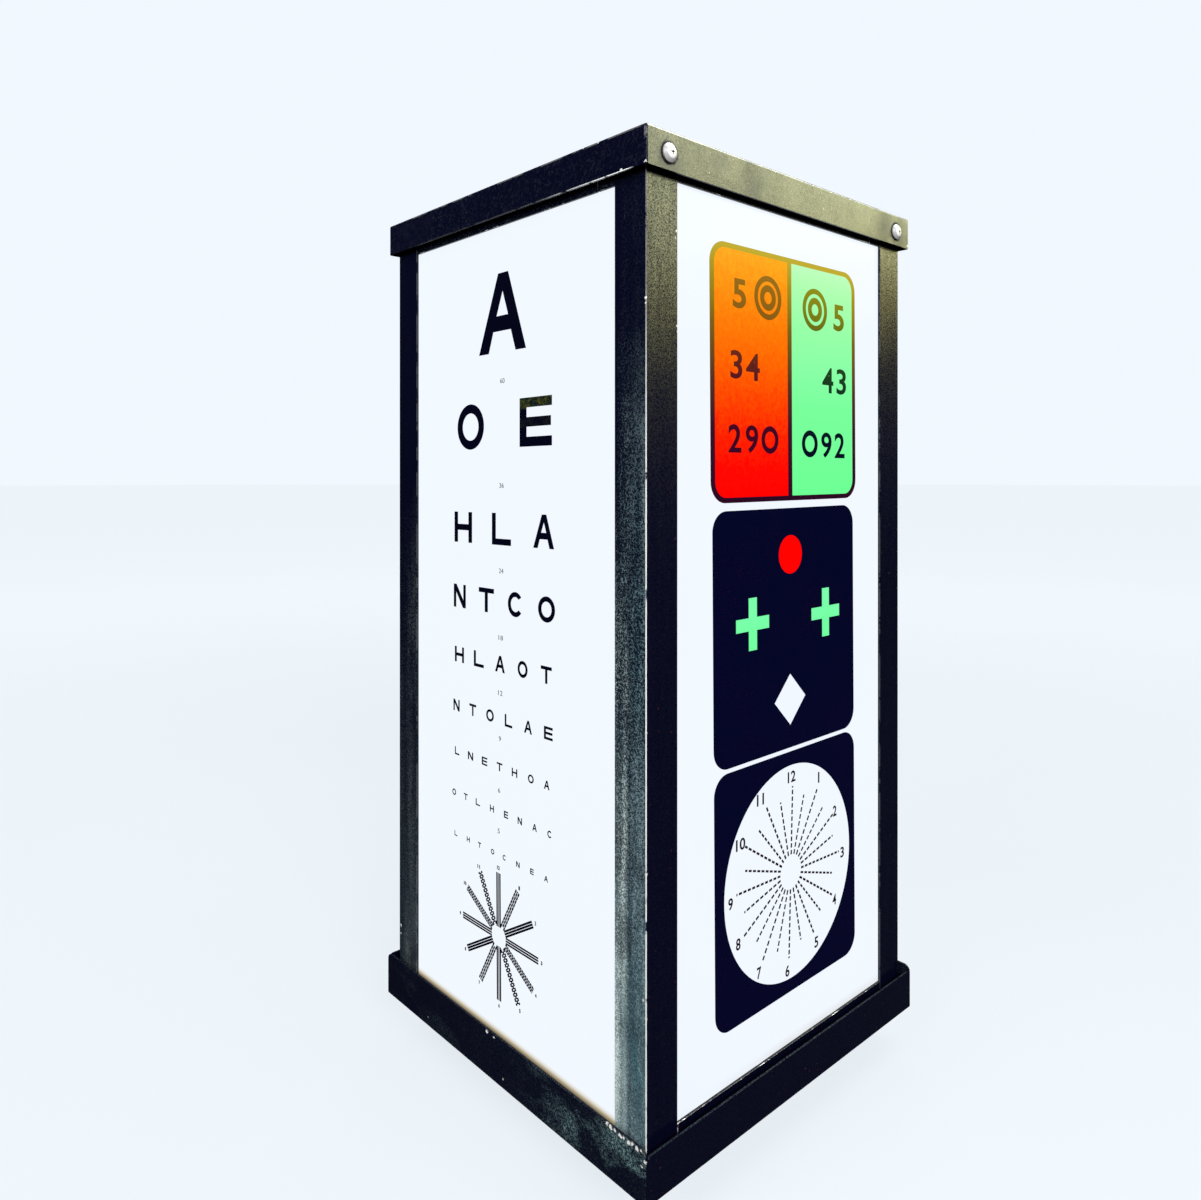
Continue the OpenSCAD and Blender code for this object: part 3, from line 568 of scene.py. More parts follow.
# ---------------------------------------------------------------- chart helpers (millimetres)
def place(bm, k, tilt=None):
    """Turns front-face geometry (u, -w, z) by k quarter turns; tilt = (degrees, u, z) turns it in its plane."""
    if tilt:
        d, u, z = tilt
        c = Vector((u * MM, 0, (z + TRAY_Z) * MM))
        bmesh.ops.rotate(bm, verts=bm.verts, cent=c, matrix=Matrix.Rotation(math.radians(-d), 3, "Y"))
    if k:
        bmesh.ops.rotate(bm, verts=bm.verts, cent=(0, 0, 0), matrix=Matrix.Rotation(math.radians(90 * k), 3, "Z"))


def prism(bm, loops, w0, w1):
    """Closed solid from an outline and its holes; w is the distance out from the lantern's axis."""
    flat = [[Vector((p[0], p[1], 0)) for p in loop] for loop in loops]
    tris = tessellate_polygon(flat)
    pts = [p for loop in flat for p in loop]
    f = [bm.verts.new((p.x * MM, -w1 * MM, (p.y + TRAY_Z) * MM)) for p in pts]
    b = [bm.verts.new((p.x * MM, -w0 * MM, (p.y + TRAY_Z) * MM)) for p in pts]
    made = []
    for t in tris:
        a = [pts[i] for i in t]
        up = (a[1] - a[0]).cross(a[2] - a[0]).z > 0
        t = list(t) if up else list(t)[::-1]
        try:
            made.append(bm.faces.new([f[i] for i in t]))
            made.append(bm.faces.new([b[i] for i in t[::-1]]))
        except ValueError:
            pass
    i0 = 0
    for li, loop in enumerate(flat):
        n = len(loop)
        area = sum(loop[i].x * loop[(i + 1) % n].y - loop[(i + 1) % n].x * loop[i].y for i in range(n))
        ccw = area > 0
        outer = li == 0
        for i in range(n):
            p, q = i0 + i, i0 + (i + 1) % n
            quad = [f[p], b[p], b[q], f[q]]
            if ccw != outer:
                quad = quad[::-1]
            made.append(bm.faces.new(quad))
        i0 += n
    return made


def rect(u0, u1, z0, z1):
    return [(u0, z0), (u1, z0), (u1, z1), (u0, z1)]


def rrect(u0, u1, z0, z1, rbl, rbr, rtr, rtl, n=10):
    out = []
    for (cu, cz, r, a0) in ((u0 + rbl, z0 + rbl, rbl, 180), (u1 - rbr, z0 + rbr, rbr, 270),
                            (u1 - rtr, z1 - rtr, rtr, 0), (u0 + rtl, z1 - rtl, rtl, 90)):
        if r < 0.05:
            out.append((cu, cz))
            continue
        for i in range(n + 1):
            a = math.radians(a0 + 90 * i / n)
            out.append((cu + r * math.cos(a), cz + r * math.sin(a)))
    return out


def oval(cu, cz, ru, rz=None, n=64):
    rz = rz or ru
    return [(cu + ru * math.cos(2 * math.pi * i / n), cz + rz * math.sin(2 * math.pi * i / n)) for i in range(n)]


def bar(cu, cz, ang, r0, r1, width, off=0.0):
    """Rectangle along a ray at clock angle ang (degrees from 12, clockwise), from r0 to r1."""
    a = math.radians(ang)
    du, dz = math.sin(a), math.cos(a)
    nu, nz = dz, -du
    h = width / 2
    return [(cu + du * r + nu * (off + s), cz + dz * r + nz * (off + s))
            for r, s in ((r0, -h), (r0, h), (r1, h), (r1, -h))][::-1]


GLYPH = {
    "H": [[(0, 0), (1, 0), (1, 2), (4, 2), (4, 0), (5, 0), (5, 5), (4, 5), (4, 3), (1, 3), (1, 5), (0, 5)]],
    "L": [[(0, 0), (5, 0), (5, 1), (1.02, 1), (1.02, 5), (0, 5)]],
    "E": [[(0, 0), (5, 0), (5, 1), (1.1, 1), (1.1, 2.02), (4.85, 2.02), (4.85, 3), (1.1, 3), (1.1, 4), (5, 4), (5, 5),
           (0, 5)]],
    "T": [[(2, 0), (3, 0), (3, 4), (5, 4), (5, 5), (0, 5), (0, 4), (2, 4)]],
    "N": [[(0, 0), (1, 0), (1, 3.35), (3.85, 0), (5, 0), (5, 5), (4, 5), (4, 1.65), (1.15, 5), (0, 5)]],
    "A": [[(0, 0), (1.08, 0), (1.58, 1.34), (3.45, 1.34), (3.94, 0), (5, 0), (3.16, 5), (2.1, 5)],
          [(1.93, 2.31), (2.58, 3.85), (3.16, 2.31)]],
}


def ring(n=56):
    return [oval(2.5, 2.5, 2.5, n=n), oval(2.5, 2.5, 1.5, n=n)]


def cee(half=38, n=40):
    out = [(2.5 + 2.5 * math.cos(math.radians(a)), 2.5 + 2.5 * math.sin(math.radians(a)))
           for a in [half + (360 - 2 * half) * i / n for i in range(n + 1)]]
    inn = [(2.5 + 1.5 * math.cos(math.radians(a)), 2.5 + 1.5 * math.sin(math.radians(a)))
           for a in [360 - half - 6 - (360 - 2 * half - 12) * i / n for i in range(n + 1)]]
    return [out + inn]


def landolt(n=44):
    """Landolt ring, gap of one fifth to the right."""
    ao, ai = math.degrees(math.asin(0.5 / 2.5)), math.degrees(math.asin(0.5 / 1.5))
    out = [(2.5 + 2.5 * math.cos(math.radians(a)), 2.5 + 2.5 * math.sin(math.radians(a)))
           for a in [ao + (360 - 2 * ao) * i / n for i in range(n + 1)]]
    inn = [(2.5 + 1.5 * math.cos(math.radians(a)), 2.5 + 1.5 * math.sin(math.radians(a)))
           for a in [360 - ai - (360 - 2 * ai) * i / n for i in range(n + 1)]]
    return [out + inn]


def glyph(bm, ch, u0, u1, z0, z1, w0, w1, skew=0.0, turn=0):
    """A letter in the box u0..u1, z0..z1; skew lifts its right side; turn = quarter turns."""
    loops = {"O": ring, "C": cee, "G": landolt}[ch]() if ch in "OCG" else GLYPH[ch]
    out = []
    for loop in loops:
        pts = []
        for a, b in loop:
            for _ in range(turn):
                a, b = 5 - b, a
            u = u0 + (u1 - u0) * a / 5
            pts.append((u, z0 + (z1 - z0) * b / 5 + skew * (u - u0)))
        out.append(pts)
    prism(bm, out, w0, w1)


def digits(bm, text, u0, u1, z0, z1, w0, w1, bold=0.0, spacing=1.0):
    """Numbers from the built-in face, fitted to the box."""
    cu = bpy.data.curves.new("num", "FONT")
    cu.body = text
    cu.size = 1.0
    cu.offset = bold
    cu.space_character = spacing
    cu.extrude = 0.05
    cu.resolution_u = 5
    ob = bpy.data.objects.new("num", cu)
    scene.collection.objects.link(ob)
    dg = bpy.context.evaluated_depsgraph_get()
    me = bpy.data.meshes.new_from_object(ob.evaluated_get(dg))
    tmp = bmesh.new()
    tmp.from_mesh(me)
    bmesh.ops.remove_doubles(tmp, verts=tmp.verts, dist=1e-5)
    xs = [v.co.x for v in tmp.verts]
    ys = [v.co.y for v in tmp.verts]
    x0, x1, y0, y1 = min(xs), max(xs), min(ys), max(ys)
    for v in tmp.verts:
        u = u0 + (u1 - u0) * (v.co.x - x0) / (x1 - x0)
        z = z0 + (z1 - z0) * (v.co.y - y0) / (y1 - y0)
        w = w1 if v.co.z > 0 else w0
        v.co = (u * MM, -w * MM, (z + TRAY_Z) * MM)
    bmesh.ops.recalc_face_normals(tmp, faces=tmp.faces)
    tmp.to_mesh(me)
    tmp.free()
    bm.from_mesh(me)
    bpy.data.objects.remove(ob)
    bpy.data.curves.remove(cu)
    bpy.data.meshes.remove(me)


def chart_piece(name, bm, mat, k, tilt=None, replaces=(), recalc=True):
    if recalc:
        bmesh.ops.recalc_face_normals(bm, faces=bm.faces)
    place(bm, k, tilt)
    return finish_mesh(name, bm, [mat], "lantern", replaces, smooth=0)


# ---------------------------------------------------------------- letter chart (front, -Y)
PW = 144.1          # front plane of the opal panels
I0, I1 = PW - 0.02, PW + 0.10


def fx(u):
    return u + 0.003478 * (532 - u)


def fz(z):
    return z + 0.003478 * (434 - z)


ROWS = [
    ("A", [(-34.5, 23.2)], 526.0, 584.0, 0.0),
    ("OE", [(-63.7, -28.3), (15.8, 52.2)], 455.4, 490.0, 0.009),
    ("HLA", [(-68, -44), (-18, 5.5), (31.5, 54.5)], 384.3, 407.8, 0.009),
    ("NTCO", [(-69, -52.5), (-35, -15.5), (1.8, 19.5), (37, 55.5)], 333.5, 351.5, 0.009),
    ("HLAOT", [(-67.5, -55), (-41.5, -28.5), (-14, -2), (13.5, 25), (40, 52)], 291, 303, 0.012),
    ("NTOLAE", [(-69.5, -61), (-47.5, -38.5), (-25.3, -15.7), (-2, 7), (21, 30), (43.5, 53)], 252.5, 261.5, 0.014),
    ("LNETHOA", [(-67.5, -61.5), (-49.5, -42.5), (-31, -24), (-12, -5), (6.5, 13), (25.5, 32), (43.5, 49.5)],
     218.5, 224.6, 0.011),
    ("OTLHENAC", [(-71, -66), (-55, -50), (-39, -33.5), (-20.5, -15.5), (-3, 2), (13.5, 18.5), (30.5, 35.5),
                  (47.3, 52)], 186.2, 191.2, 0.009),
    ("LHTOCNEA", [(-68, -64.2), (-51, -47), (-36, -32), (-19.3, -15.2), (-4.5, -0.5), (11.7, 15.8), (28, 32),
                  (43.7, 47.8)], 155, 159, 0.009),
]
LABELS = [("60", -5, 505), ("36", -6, 428.5), ("24", -6.5, 366), ("18", -7, 317), ("12", -7.5, 276.5),
          ("9", -8, 243), ("6", -9, 205), ("5", -9.5, 175)]

for i, (text, spans, z0, z1, skew) in enumerate(ROWS):
    bm = bmesh.new()
    for ch, (a, b) in zip(text, spans):
        lift = skew * (a - spans[0][0])
        glyph(bm, ch, fx(a), fx(b), fz(z0 + lift), fz(z1 + lift), I0, I1, skew * 0.6)
    chart_piece(f"letters_row_{i + 1}", bm, MATS["ink_worn" if text == "OE" else "ink"], 0)

bm = bmesh.new()
for text, u, z in LABELS:
    w = 1.35 * len(text)
    digits(bm, text, fx(u) - w, fx(u) + w, fz(z) - 1.75, fz(z) + 1.75, I0, I1)
chart_piece("letters_row_numbers", bm, MATS["ink_grey"], 0, recalc=False)


def dash(bm, cu, cz, ang, r0, r1, width, off, on, gap, start=0.0, w0=I0, w1=I1):
    r = r0 + start
    while r < r1 - 0.3:
        e = min(r + on, r1)
        prism(bm, [bar(cu, cz, ang, r, e, width, off)], w0, w1)
        r = e + gap


def star(bm, cu, cz, k0=0.0, w0=I0, w1=I1):
    """Twelve spokes of three parallel lines; each hour has its own line pattern."""
    for hour in range(12):
        ang = hour * 30 + k0
        r0, r1 = 8.6, 46.5
        h = hour or 12
        for j, off in enumerate((-1.85, 0.0, 1.85)):
            if h in (12, 6):
                prism(bm, [bar(cu, cz, ang, r0 - 1.5, r1, 1.62 if off else 0.9, off)], w0, w1)
            elif h in (2, 8):
                prism(bm, [bar(cu, cz, ang, r0, r1, 1.52, off)], w0, w1)
            elif h in (3, 9):
                prism(bm, [bar(cu, cz, ang, r0, r1, 1.3, off)], w0, w1)
            elif h in (4, 10):
                dash(bm, cu, cz, ang, r0, r1, 1.6, off, 1.75, 0.45, 0.8 * (j % 2), w0, w1)
            elif h in (5, 11):
                dash(bm, cu, cz, ang, r0, r1, 1.8, off, 2.4, 0.9, 1.65 * (j % 2), w0, w1)
            else:
                dash(bm, cu, cz, ang, r0, r1, 1.4, off, 3.0, 0.5, 1.75 * (j % 2), w0, w1)


bm = bmesh.new()
star(bm, fx(-9.5), fz(97.5), -0.5)
chart_piece("letters_star", bm, MATS["ink"], 0)
bm = bmesh.new()
for h in range(1, 13):
    a = math.radians(30 * h - 0.5)
    u, z = fx(-9.5) + 50.2 * math.sin(a), fz(97.5) + 50.2 * math.cos(a)
    w = 0.82 * len(str(h))
    digits(bm, str(h), u - w, u + w, z - 1.4, z + 1.4, I0, I1, bold=0.045)
chart_piece("letters_star_numbers", bm, MATS["ink"], 0, recalc=False)

# ---------------------------------------------------------------- colour chart (right, +X)
F0, F1 = PW, PW + 0.24       # film
D0, D1 = PW + 0.22, PW + 0.29  # figures printed on a film
TILT = (0.5, 1.8, 328)       # the whole chart was fixed slightly askew, its right side low


def yx(v):
    return v - 1.9


RED = (rrect(-79.4, 0.2, 421.4, 587.4, 11, 0.6, 0.6, 11), )
GREEN = (rrect(5.1, 82.9, 421.4, 587.4, 0.6, 11, 11, 0.6), )
bm = bmesh.new()
prism(bm, [rrect(-83.7, 87.2, 417.9, 591.0, 14.5, 14.5, 14.5, 14.5), RED[0][::-1], GREEN[0][::-1]], F0, F1)
# painted reflection: the mask's border runs from dark purple at the bottom to olive-yellow at the top, the window's
# warm veil painted into its emission
MATS["film_black"] = lit_film("film_black_duo", [(0.0, lin(40, 0, 26)), (0.30, lin(56, 10, 30)), (0.48, lin(84, 44, 20)),
                              (0.70, lin(122, 92, 2)), (0.88, lin(160, 138, 2)), (1.0, lin(190, 168, 30))],
                              grain=0.05, tint=(0.002, 0.002, 0.004, 1), power=1.0)
chart_piece("duochrome_mask_looks", bm, MATS["film_black"], 1, TILT, ("duochrome_mask",))
bm = bmesh.new()
prism(bm, [RED[0]], F0, F1)
# painted reflection: the red turns orange towards the top, the window's warm veil painted into the emission
MATS["film_red"] = lit_film("film_red_duo", [(0.0, lin(254, 2, 0)), (0.14, lin(254, 8, 2)), (0.27, lin(254, 34, 0)),
                            (0.42, lin(254, 72, 0)), (0.55, lin(254, 100, 0)), (0.70, lin(254, 122, 0)),
                            (0.88, lin(254, 150, 4)), (1.0, lin(254, 170, 10))], grain=0.34, grain_scale=300, tint=(0.01, 0.0, 0.0, 1))
chart_piece("duochrome_red_looks", bm, MATS["film_red"], 1, TILT, ("duochrome_red",))
bm = bmesh.new()
prism(bm, [GREEN[0]], F0, F1)
# painted reflection: the green grows paler towards the top, the window's veil painted into the emission
MATS["film_green"] = lit_film("film_green_duo", [(0.0, lin(108, 253, 148)), (0.4, lin(122, 253, 157)),
                              (0.55, lin(136, 252, 166)), (0.72, lin(150, 252, 168)), (0.9, lin(172, 250, 176)),
                              (1.0, lin(188, 250, 190))], grain=0.08, tint=(0.0, 0.02, 0.0, 1))
chart_piece("duochrome_green_looks", bm, MATS["film_green"], 1, TILT, ("duochrome_green",))

# painted reflection: the figures on the red run from near-black at the bottom to olive at the top
MATS["fig_red"] = lit_film("figures_on_red", [(0.0, lin(40, 0, 28)), (0.25, lin(62, 2, 30)), (0.45, lin(78, 2, 29)),
                           (0.60, lin(104, 40, 18)), (0.75, lin(134, 88, 6)), (1.0, lin(158, 112, 6))], grain=0.04,
                           tint=(0.001, 0.001, 0.002, 1))
# painted reflection: the figures on the green run from navy at the bottom to olive at the top
MATS["fig_green"] = lit_film("figures_on_green", [(0.0, lin(2, 4, 30)), (0.25, lin(3, 8, 31)), (0.42, lin(6, 38, 30)),
                             (0.58, lin(30, 66, 24)), (0.70, lin(88, 98, 4)), (0.82, lin(126, 128, 2)),
                             (1.0, lin(150, 150, 10))], grain=0.04, tint=(0.001, 0.001, 0.002, 1))


def rings(bm, u, z, d):
    prism(bm, [oval(u, z, d / 2), oval(u, z, d / 2 - 3.9)[::-1]], D0, D1)
    prism(bm, [oval(u, z, 8.9), oval(u, z, 4.2)[::-1]], D0, D1)


bm = bmesh.new()
digits(bm, "5", yx(-60.5), yx(-46.5), 548, 568, D0, D1, bold=0.026)
digits(bm, "3", yx(-63), yx(-50.5), 500.5, 519.7, D0, D1, bold=0.018)
digits(bm, "4", yx(-46.5), yx(-31.5), 500.5, 519.2, D0, D1, bold=0.018)
digits(bm, "2", yx(-65), yx(-51.5), 451, 470, D0, D1, bold=0.018)
digits(bm, "9", yx(-46.8), yx(-33.3), 451, 470, D0, D1, bold=0.018)
n0 = len(bm.faces)
rings(bm, yx(-22.3), 559.2, 30.5)
prism(bm, [oval(yx(-20), 460.5, 9.6, 9.6), oval(yx(-20), 460.5, 5.8, 5.8)[::-1]], D0, D1)
bmesh.ops.recalc_face_normals(bm, faces=list(bm.faces)[n0:])
chart_piece("duochrome_figures_red_side", bm, MATS["fig_red"], 1, None, recalc=False)
bm = bmesh.new()
digits(bm, "5", yx(58), yx(72), 545.4, 565.4, D0, D1, bold=0.026)
digits(bm, "4", yx(43.3), yx(57.8), 497.6, 516.6, D0, D1, bold=0.018)
digits(bm, "3", yx(62), yx(75), 497.4, 516.8, D0, D1, bold=0.018)
digits(bm, "9", yx(42), yx(55.5), 449, 468, D0, D1, bold=0.018)
digits(bm, "2", yx(59.5), yx(73), 449, 468, D0, D1, bold=0.018)
n0 = len(bm.faces)
rings(bm, yx(34), 557.9, 31)
prism(bm, [oval(yx(27.5), 459, 9.9, 9.9), oval(yx(27.5), 459, 5.9, 5.9)[::-1]], D0, D1)
bmesh.ops.recalc_face_normals(bm, faces=list(bm.faces)[n0:])
chart_piece("duochrome_figures_green_side", bm, MATS["fig_green"], 1, None, recalc=False)


def black_film(name):
    M = Mat(name)
    n = M.noise(900, 3, 0.6)
    big = M.noise(26, 4, 0.6)
    warm = M.mul(M.rng(n, 0.60, 0.70), M.rng(big, 0.45, 0.7))
    # painted glow: a faint navy emission lights the black film; the reddish flecks mixed into its base are its own tone
    M.set(base=M.mix(warm, (0.0006, 0.0009, 0.0060, 1), (0.03, 0.002, 0.008, 1)), emit=(0.0003, 0.0005, 0.011, 1),
          power=1.0, rough=M.rng(n, 0.2, 0.8, 0.16, 0.26), spec=0.06)
    return M.m


MATS["mask"] = black_film("film_black")
CROSS = lambda cu, cz: [(cu - 18, cz - 4.5), (cu - 4.5, cz - 4.5), (cu - 4.5, cz - 18), (cu + 4.5, cz - 18),
                        (cu + 4.5, cz - 4.5), (cu + 18, cz - 4.5), (cu + 18, cz + 4.5), (cu + 4.5, cz + 4.5),
                        (cu + 4.5, cz + 18), (cu - 4.5, cz + 18), (cu - 4.5, cz + 4.5), (cu - 18, cz + 4.5)]
DOT = oval(2.4, 379.4, 13.8)
X1, X2 = CROSS(-40.9, 334.5), CROSS(45.7, 333.5)
DIA = [(1.4, 275.8 - 18.4), (1.4 + 18.4, 275.8), (1.4, 275.8 + 18.4), (1.4 - 18.4, 275.8)]
bm = bmesh.new()
prism(bm, [rrect(-82.3, 83.1, 241.3, 412.6, 14, 14, 14, 14), DOT[::-1], X1[::-1], X2[::-1], DIA[::-1]], F0, F1)
chart_piece("worth_mask_looks", bm, MATS["mask"], 1, TILT, ("worth_mask",))
bm = bmesh.new()
prism(bm, [DOT], F0, F1)
MATS["dot"] = lit_film("film_red_dot", [(0, lin(254, 3, 1)), (1, lin(254, 5, 2))], grain=0.1, tint=(0.02, 0, 0, 1))
chart_piece("worth_red_looks", bm, MATS["dot"], 1, TILT, ("worth_red",))
bm = bmesh.new()
prism(bm, [X1], F0, F1)
prism(bm, [X2], F0, F1)
MATS["crosses"] = lit_film("film_green_crosses", [(0, lin(112, 251, 158)), (1, lin(130, 252, 180))], grain=0.9,
                           grain_scale=60, z0=0.34, z1=0.40, tint=(0, 0.02, 0, 1))
chart_piece("worth_green_looks", bm, MATS["crosses"], 1, TILT, ("worth_green",))
bm = bmesh.new()
prism(bm, [rrect(-82.2, 83.2, 66.8, 238.4, 14, 14, 14, 14), oval(1.7, 152.3, 74.4, 76.2, 96)[::-1]], F0, F1)
chart_piece("fan_mask_looks", bm, MATS["mask"], 1, TILT, ("fan_mask",))

FC = (2.6, 152.0)
bm = bmesh.new()
for i in range(24):
    ang = i * 15 + 2.0
    hour = i % 2 == 0
    dash(bm, FC[0], FC[1], ang, 12.4, 61.0 if hour else 54.0, 1.6 if hour else 1.5, 0.0,
         3.2 + 0.15 * (i % 3), 1.55, 0.0, I0, I1)
chart_piece("fan_lines", bm, MATS["ink_fan"], 1)
FAN = {12: (5.5, 220), 1: (39, 212), 2: (60, 182), 3: (70, 148), 4: (59.5, 115), 5: (36, 91), 6: (0.5, 82.5),
       7: (-32, 93), 8: (-54.5, 120.5), 9: (-62.5, 150), 10: (-52, 187), 11: (-30.5, 212)}
bm = bmesh.new()
for h, (u, z) in FAN.items():
    t = str(h)
    w = {12: 4.6, 10: 4.9, 11: 3.9, 1: 0.85}.get(h, 2.35)
    digits(bm, t, yx(u) - w, yx(u) + w, z - 4.0, z + 4.0, I0, I1, bold=0.02)
chart_piece("fan_numbers", bm, MATS["ink_fan"], 1, recalc=False)

# ---------------------------------------------------------------- hidden faces: generic charts
HEIGHTS = [(58.2, 526.0), (34.9, 455.5), (23.3, 384.5), (17.5, 333.5), (11.6, 291.0), (8.7, 252.5), (5.8, 218.5),
           (4.85, 186.2), (3.9, 155.0)]
TURNS = [0, 1, 2, 3, 1, 3, 0, 2, 1, 0, 3, 2, 2, 0, 1, 3, 0, 2, 1, 3, 2, 0, 1, 1, 3, 2, 0, 3, 1, 2, 0, 3, 2, 1, 0, 2, 3, 1,
         0, 1, 2, 3, 0, 2, 1, 3, 0, 1]
for face, ch, nm in ((2, "G", "ring"), (3, "E", "tumbling")):
    ti = 0 if face == 2 else 11
    for i, (h, zb) in enumerate(HEIGHTS):
        count = [1, 2, 3, 4, 5, 6, 7, 8, 8][i]
        bm = bmesh.new()
        span = 122.0 - h
        for j in range(count):
            c = 0 if count == 1 else -span / 2 + span * j / (count - 1)
            if count == 2:
                c = (-1, 1)[j] * 33
            glyph(bm, ch, c - h / 2, c + h / 2, zb, zb + h, I0, I1, 0, TURNS[ti % len(TURNS)])
            ti += 1
        chart_piece(f"{nm}_row_{i + 1}", bm, MATS["ink"], face)
    bm = bmesh.new()
    for text, u, z in LABELS:
        w = 1.35 * len(text)
        digits(bm, text, -w, w, z - 1.75, z + 1.75, I0, I1)
    chart_piece(f"{nm}_row_numbers", bm, MATS["ink_grey"], face, recalc=False)
    bm = bmesh.new()
    star(bm, 0, 97.5) if face == 2 else None
    if face == 3:
        for i in range(36):
            dash(bm, 0, 97.5, i * 10, 10, 46, 0.9, 0.0, 60, 1)
    chart_piece(f"{nm}_star", bm, MATS["ink"], face)

# ---------------------------------------------------------------- case
LT = 0.6779


def outer_fold(e):
    a, b = e.verts[0].co, e.verts[1].co
    return a.z > LT and b.z > LT and max(abs(a.x), abs(a.y)) > 0.1523 and max(abs(b.x), abs(b.y)) > 0.1523


def corner_fold(e):
    return both(e, lambda c: abs(c.x) > 0.1523 and abs(c.y) > 0.1523) and abs(e.verts[0].co.z - e.verts[1].co.z) > 0.01


dress("lid", MATS["enamel_lid"], MATS["enamel_lid_edge"], steps=[
    (lambda e: outer_fold(e) or corner_fold(e), 0.0018, 5),
    (lambda e: both(e, lambda c: c.z < 0.6538), 0.0004, 2)])
dress("base_tray", MATS["enamel_tray"], MATS["enamel_tray_edge"], steps=[
    (lambda e: both(e, lambda c: c.z > 0.060), 0.0005, 2),
    (lambda e: both(e, lambda c: c.z < 0.0322 and max(abs(c.x), abs(c.y)) > 0.1530), 0.0010, 3)])
for n in ("post_front_left", "post_front_right", "post_back_right", "post_back_left"):
    dress(n, MATS["enamel_post"], MATS["enamel_post_edge"], 0.0006, 3)
for n in ("sills_front_back", "sills_side", "heads_front_back", "heads_side"):
    dress(n, MATS["enamel_rail"], MATS["enamel_rail_edge"], 0.0003, 2)
for n in ("panel_front", "panel_right", "panel_back", "panel_left"):
    dress(n, MATS["opal_front"] if n == "panel_front" else MATS["opal"], None, 0.0003, 2)
dress("panel_guides", MATS["zinc"], None, 0.0002, 1)

# ---------------------------------------------------------------- fixings, bearing, stand, lamps
for n, m, w in (("lid_screws", "screw", 0.00025), ("lid_spacers", "steel", 0.0003), ("lid_nuts", "zinc", 0.0003),
                ("hub", "brass", 0.0005), ("hub_screws", "steel", 0.0002), ("race_upper", "steel", 0.0003),
                ("race_lower", "steel", 0.0003), ("ball_cage", "brass", 0.0001), ("spindle", "steel", 0.0004),
                ("spindle_screws", "steel", 0.0003), ("retaining_collar", "steel", 0.0006),
                ("collar_screw", "plain", 0.0002), ("lamp_column", "alu", 0.0003), ("gear_plate", "zinc", 0.0003),
                ("ballast", "cream", 0.0008), ("ballast_screws", "steel", 0.0003), ("starter_sockets", "white", 0.0006),
                ("starters", "alu", 0.0004), ("terminal_block", "white", 0.0005), ("bracket_lower", "zinc", 0.0003),
                ("bracket_upper", "zinc", 0.0003), ("lamp_sockets", "white", 0.0007), ("lamp_caps", "alu", 0.0003),
                ("stand_cover", "cover", 0.0003), ("foot_screws", "plain", 0.0002), ("stand_feet", "rubber", 0.0006),
                ("cable_gland", "black", 0.0004), ("gland_nut", "black", 0.0003), ("switch_body", "steel", 0.0003),
                ("switch_nut", "steel", 0.0003)):
    dress(n, MATS[m], None, w, 2)
dress("stand_pan", MATS["stand"], MATS["stand_edge"], 0.0006, 2)
for n, m in (("bearing_balls", "steel"), ("lamp_tubes", "glass"), ("lamp_leads", "pvc"), ("supply_leads", "brown"),
             ("toggle_lever", "screw")):
    NODES[n].data.materials.clear()
    NODES[n].data.materials.append(MATS[m])

# ---------------------------------------------------------------- stage, light
bm = bmesh.new()
N = 96
ringv = []
for r in (0.6, 1.5, 4.0, 14.0, 60.0):
    ringv.append([bm.verts.new((r * math.cos(2 * math.pi * i / N), r * math.sin(2 * math.pi * i / N), 0)) for i in range(N)])
bm.faces.new(ringv[0])
for a, b in zip(ringv, ringv[1:]):
    for i in range(N):
        bm.faces.new((a[i], b[i], b[(i + 1) % N], a[(i + 1) % N]))
me = bpy.data.meshes.new("floor")
bm.to_mesh(me)
bm.free()
floor = bpy.data.objects.new("floor", me)
scene.collection.objects.link(floor)
F = Mat("floor_pale")
F.set(base=F.mix(F.add("ShaderNodeLightPath").outputs["Is Camera Ray"], (0.026, 0.027, 0.029, 1),
                 F.mix(F.rng(F.noise(3, 3, 0.5), 0.3, 0.7), (0.085, 0.089, 0.093, 1), (0.089, 0.093, 0.097, 1))),
      emit=F.mix(F.rng(F.add_len(), 0.5, 3.5, smooth=True), (0.735, 0.785, 0.825, 1), (0.841, 0.898, 0.949, 1)),
      power=F.add("ShaderNodeLightPath").outputs["Is Camera Ray"], rough=0.9, spec=0.0)
me.materials.append(F.m)

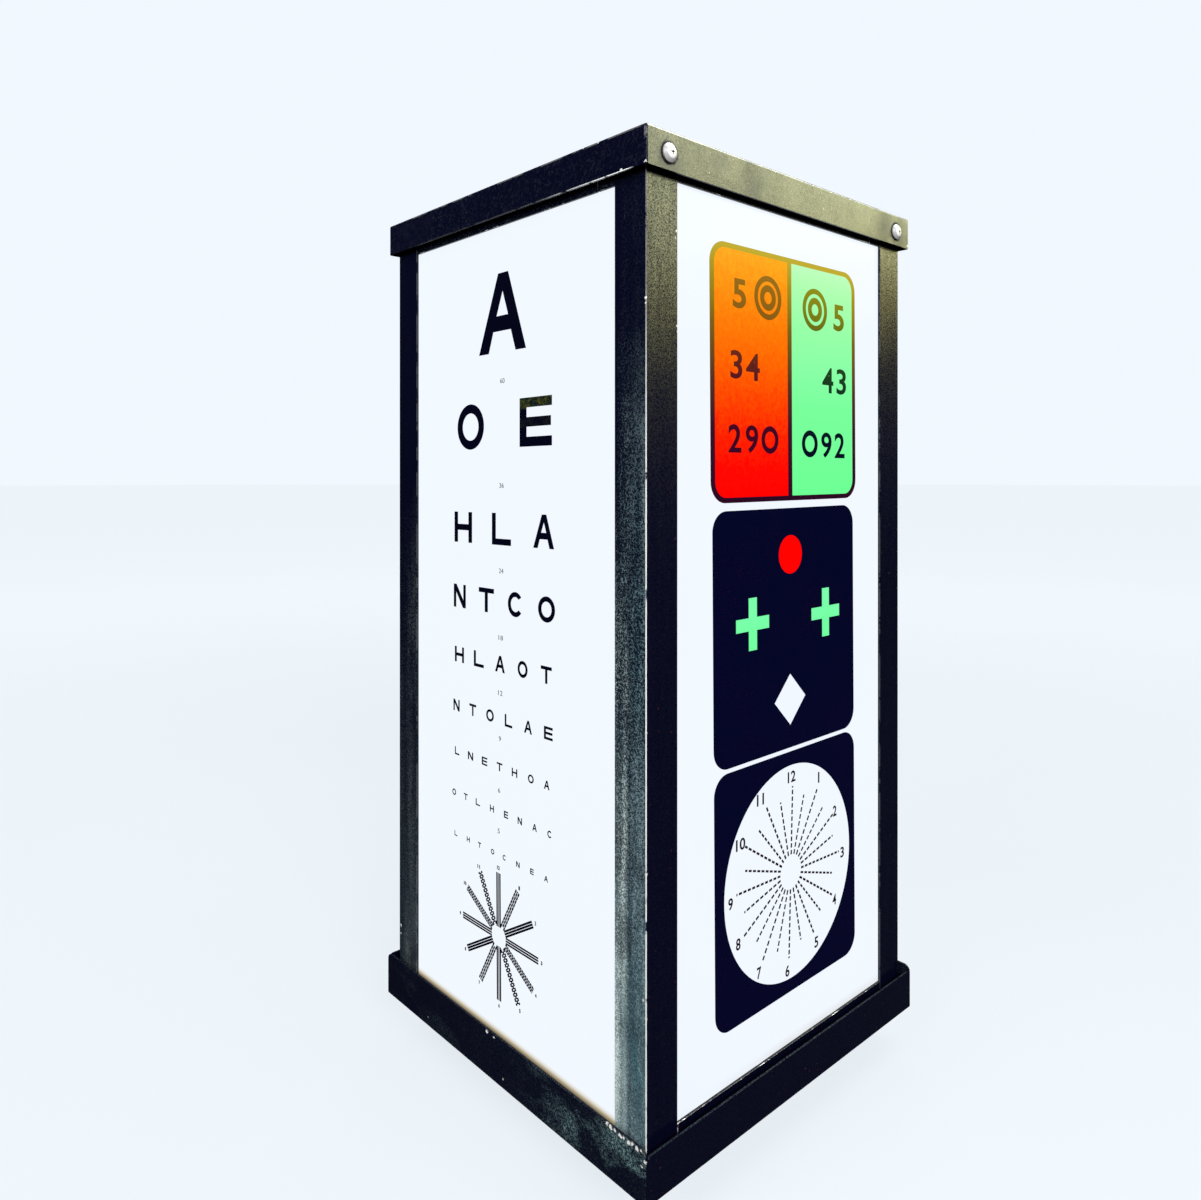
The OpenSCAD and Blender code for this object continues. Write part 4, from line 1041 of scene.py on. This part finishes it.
world = bpy.data.worlds.new("studio")
scene.world = world
world.use_nodes = True
wt = world.node_tree
wt.nodes.clear()
wo = wt.nodes.new("ShaderNodeOutputWorld")
mx = wt.nodes.new("ShaderNodeMixShader")
lp = wt.nodes.new("ShaderNodeLightPath")
b1 = wt.nodes.new("ShaderNodeBackground")
b2 = wt.nodes.new("ShaderNodeBackground")
b1.inputs[0].default_value = (0.022, 0.028, 0.060, 1)
b1.inputs[1].default_value = 1.0
b2.inputs[0].default_value = lin(241, 248, 255)
b2.inputs[1].default_value = 1.0
wt.links.new(lp.outputs["Is Camera Ray"], mx.inputs[0])
wt.links.new(b1.outputs[0], mx.inputs[1])
wt.links.new(b2.outputs[0], mx.inputs[2])
wt.links.new(mx.outputs[0], wo.inputs[0])


def area(name, loc, aim, size, size_y, radiance, color=(1, 1, 1)):
    d = bpy.data.lights.new(name, "AREA")
    d.shape = "RECTANGLE"
    d.size, d.size_y = size, size_y
    d.energy = radiance * math.pi * size * size_y
    d.color = color
    o = bpy.data.objects.new(name, d)
    o.location = loc
    o.rotation_euler = (Vector(aim) - Vector(loc)).to_track_quat("-Z", "Y").to_euler()
    scene.collection.objects.link(o)
    return o


for name, loc, size, size_y, radiance, color in (
        ("window", (1.42, 1.75, 1.62), 1.7, 0.90, 10.0, (0.97, 1.0, 0.56)),
        ("window_low", (1.42, 1.75, 1.08), 1.7, 0.26, 2.6, (1.0, 0.88, 0.20)),
        ("window_top", (1.05, 1.30, 2.30), 1.6, 0.95, 26.0, (1.0, 1.0, 0.86))):
    pane = area(name, loc, (0.15, 0.0, 0.50), size, size_y, radiance, color)
    pane.visible_diffuse = False
area("overhead", (0.75, 0.55, 2.7), (0.05, 0.05, 0.6), 1.5, 1.5, 6.0, (1.0, 1.0, 0.93))
area("front_left", (-0.5, -2.1, 3.1), (0, -0.1, 0.3), 1.3, 1.3, 7.0)
for name, loc, aim, radiance in (("fill_front", (0.3, -2.6, 1.4), (0.1, 0, 0.35), 7.5),
                                 ("fill_right", (2.4, -1.0, 1.6), (0.15, 0, 0.4), 15.0)):
    fill = area(name, loc, aim, 1.4, 1.4, radiance)
    fill.visible_glossy = False
area("front_right", (2.3, -0.75, 1.5), (0.15, 0, 0.4), 1.2, 1.0, 4.0)
area("back", (-1.6, 1.9, 2.4), (0, 0, 0.35), 1.5, 1.2, 4.0)
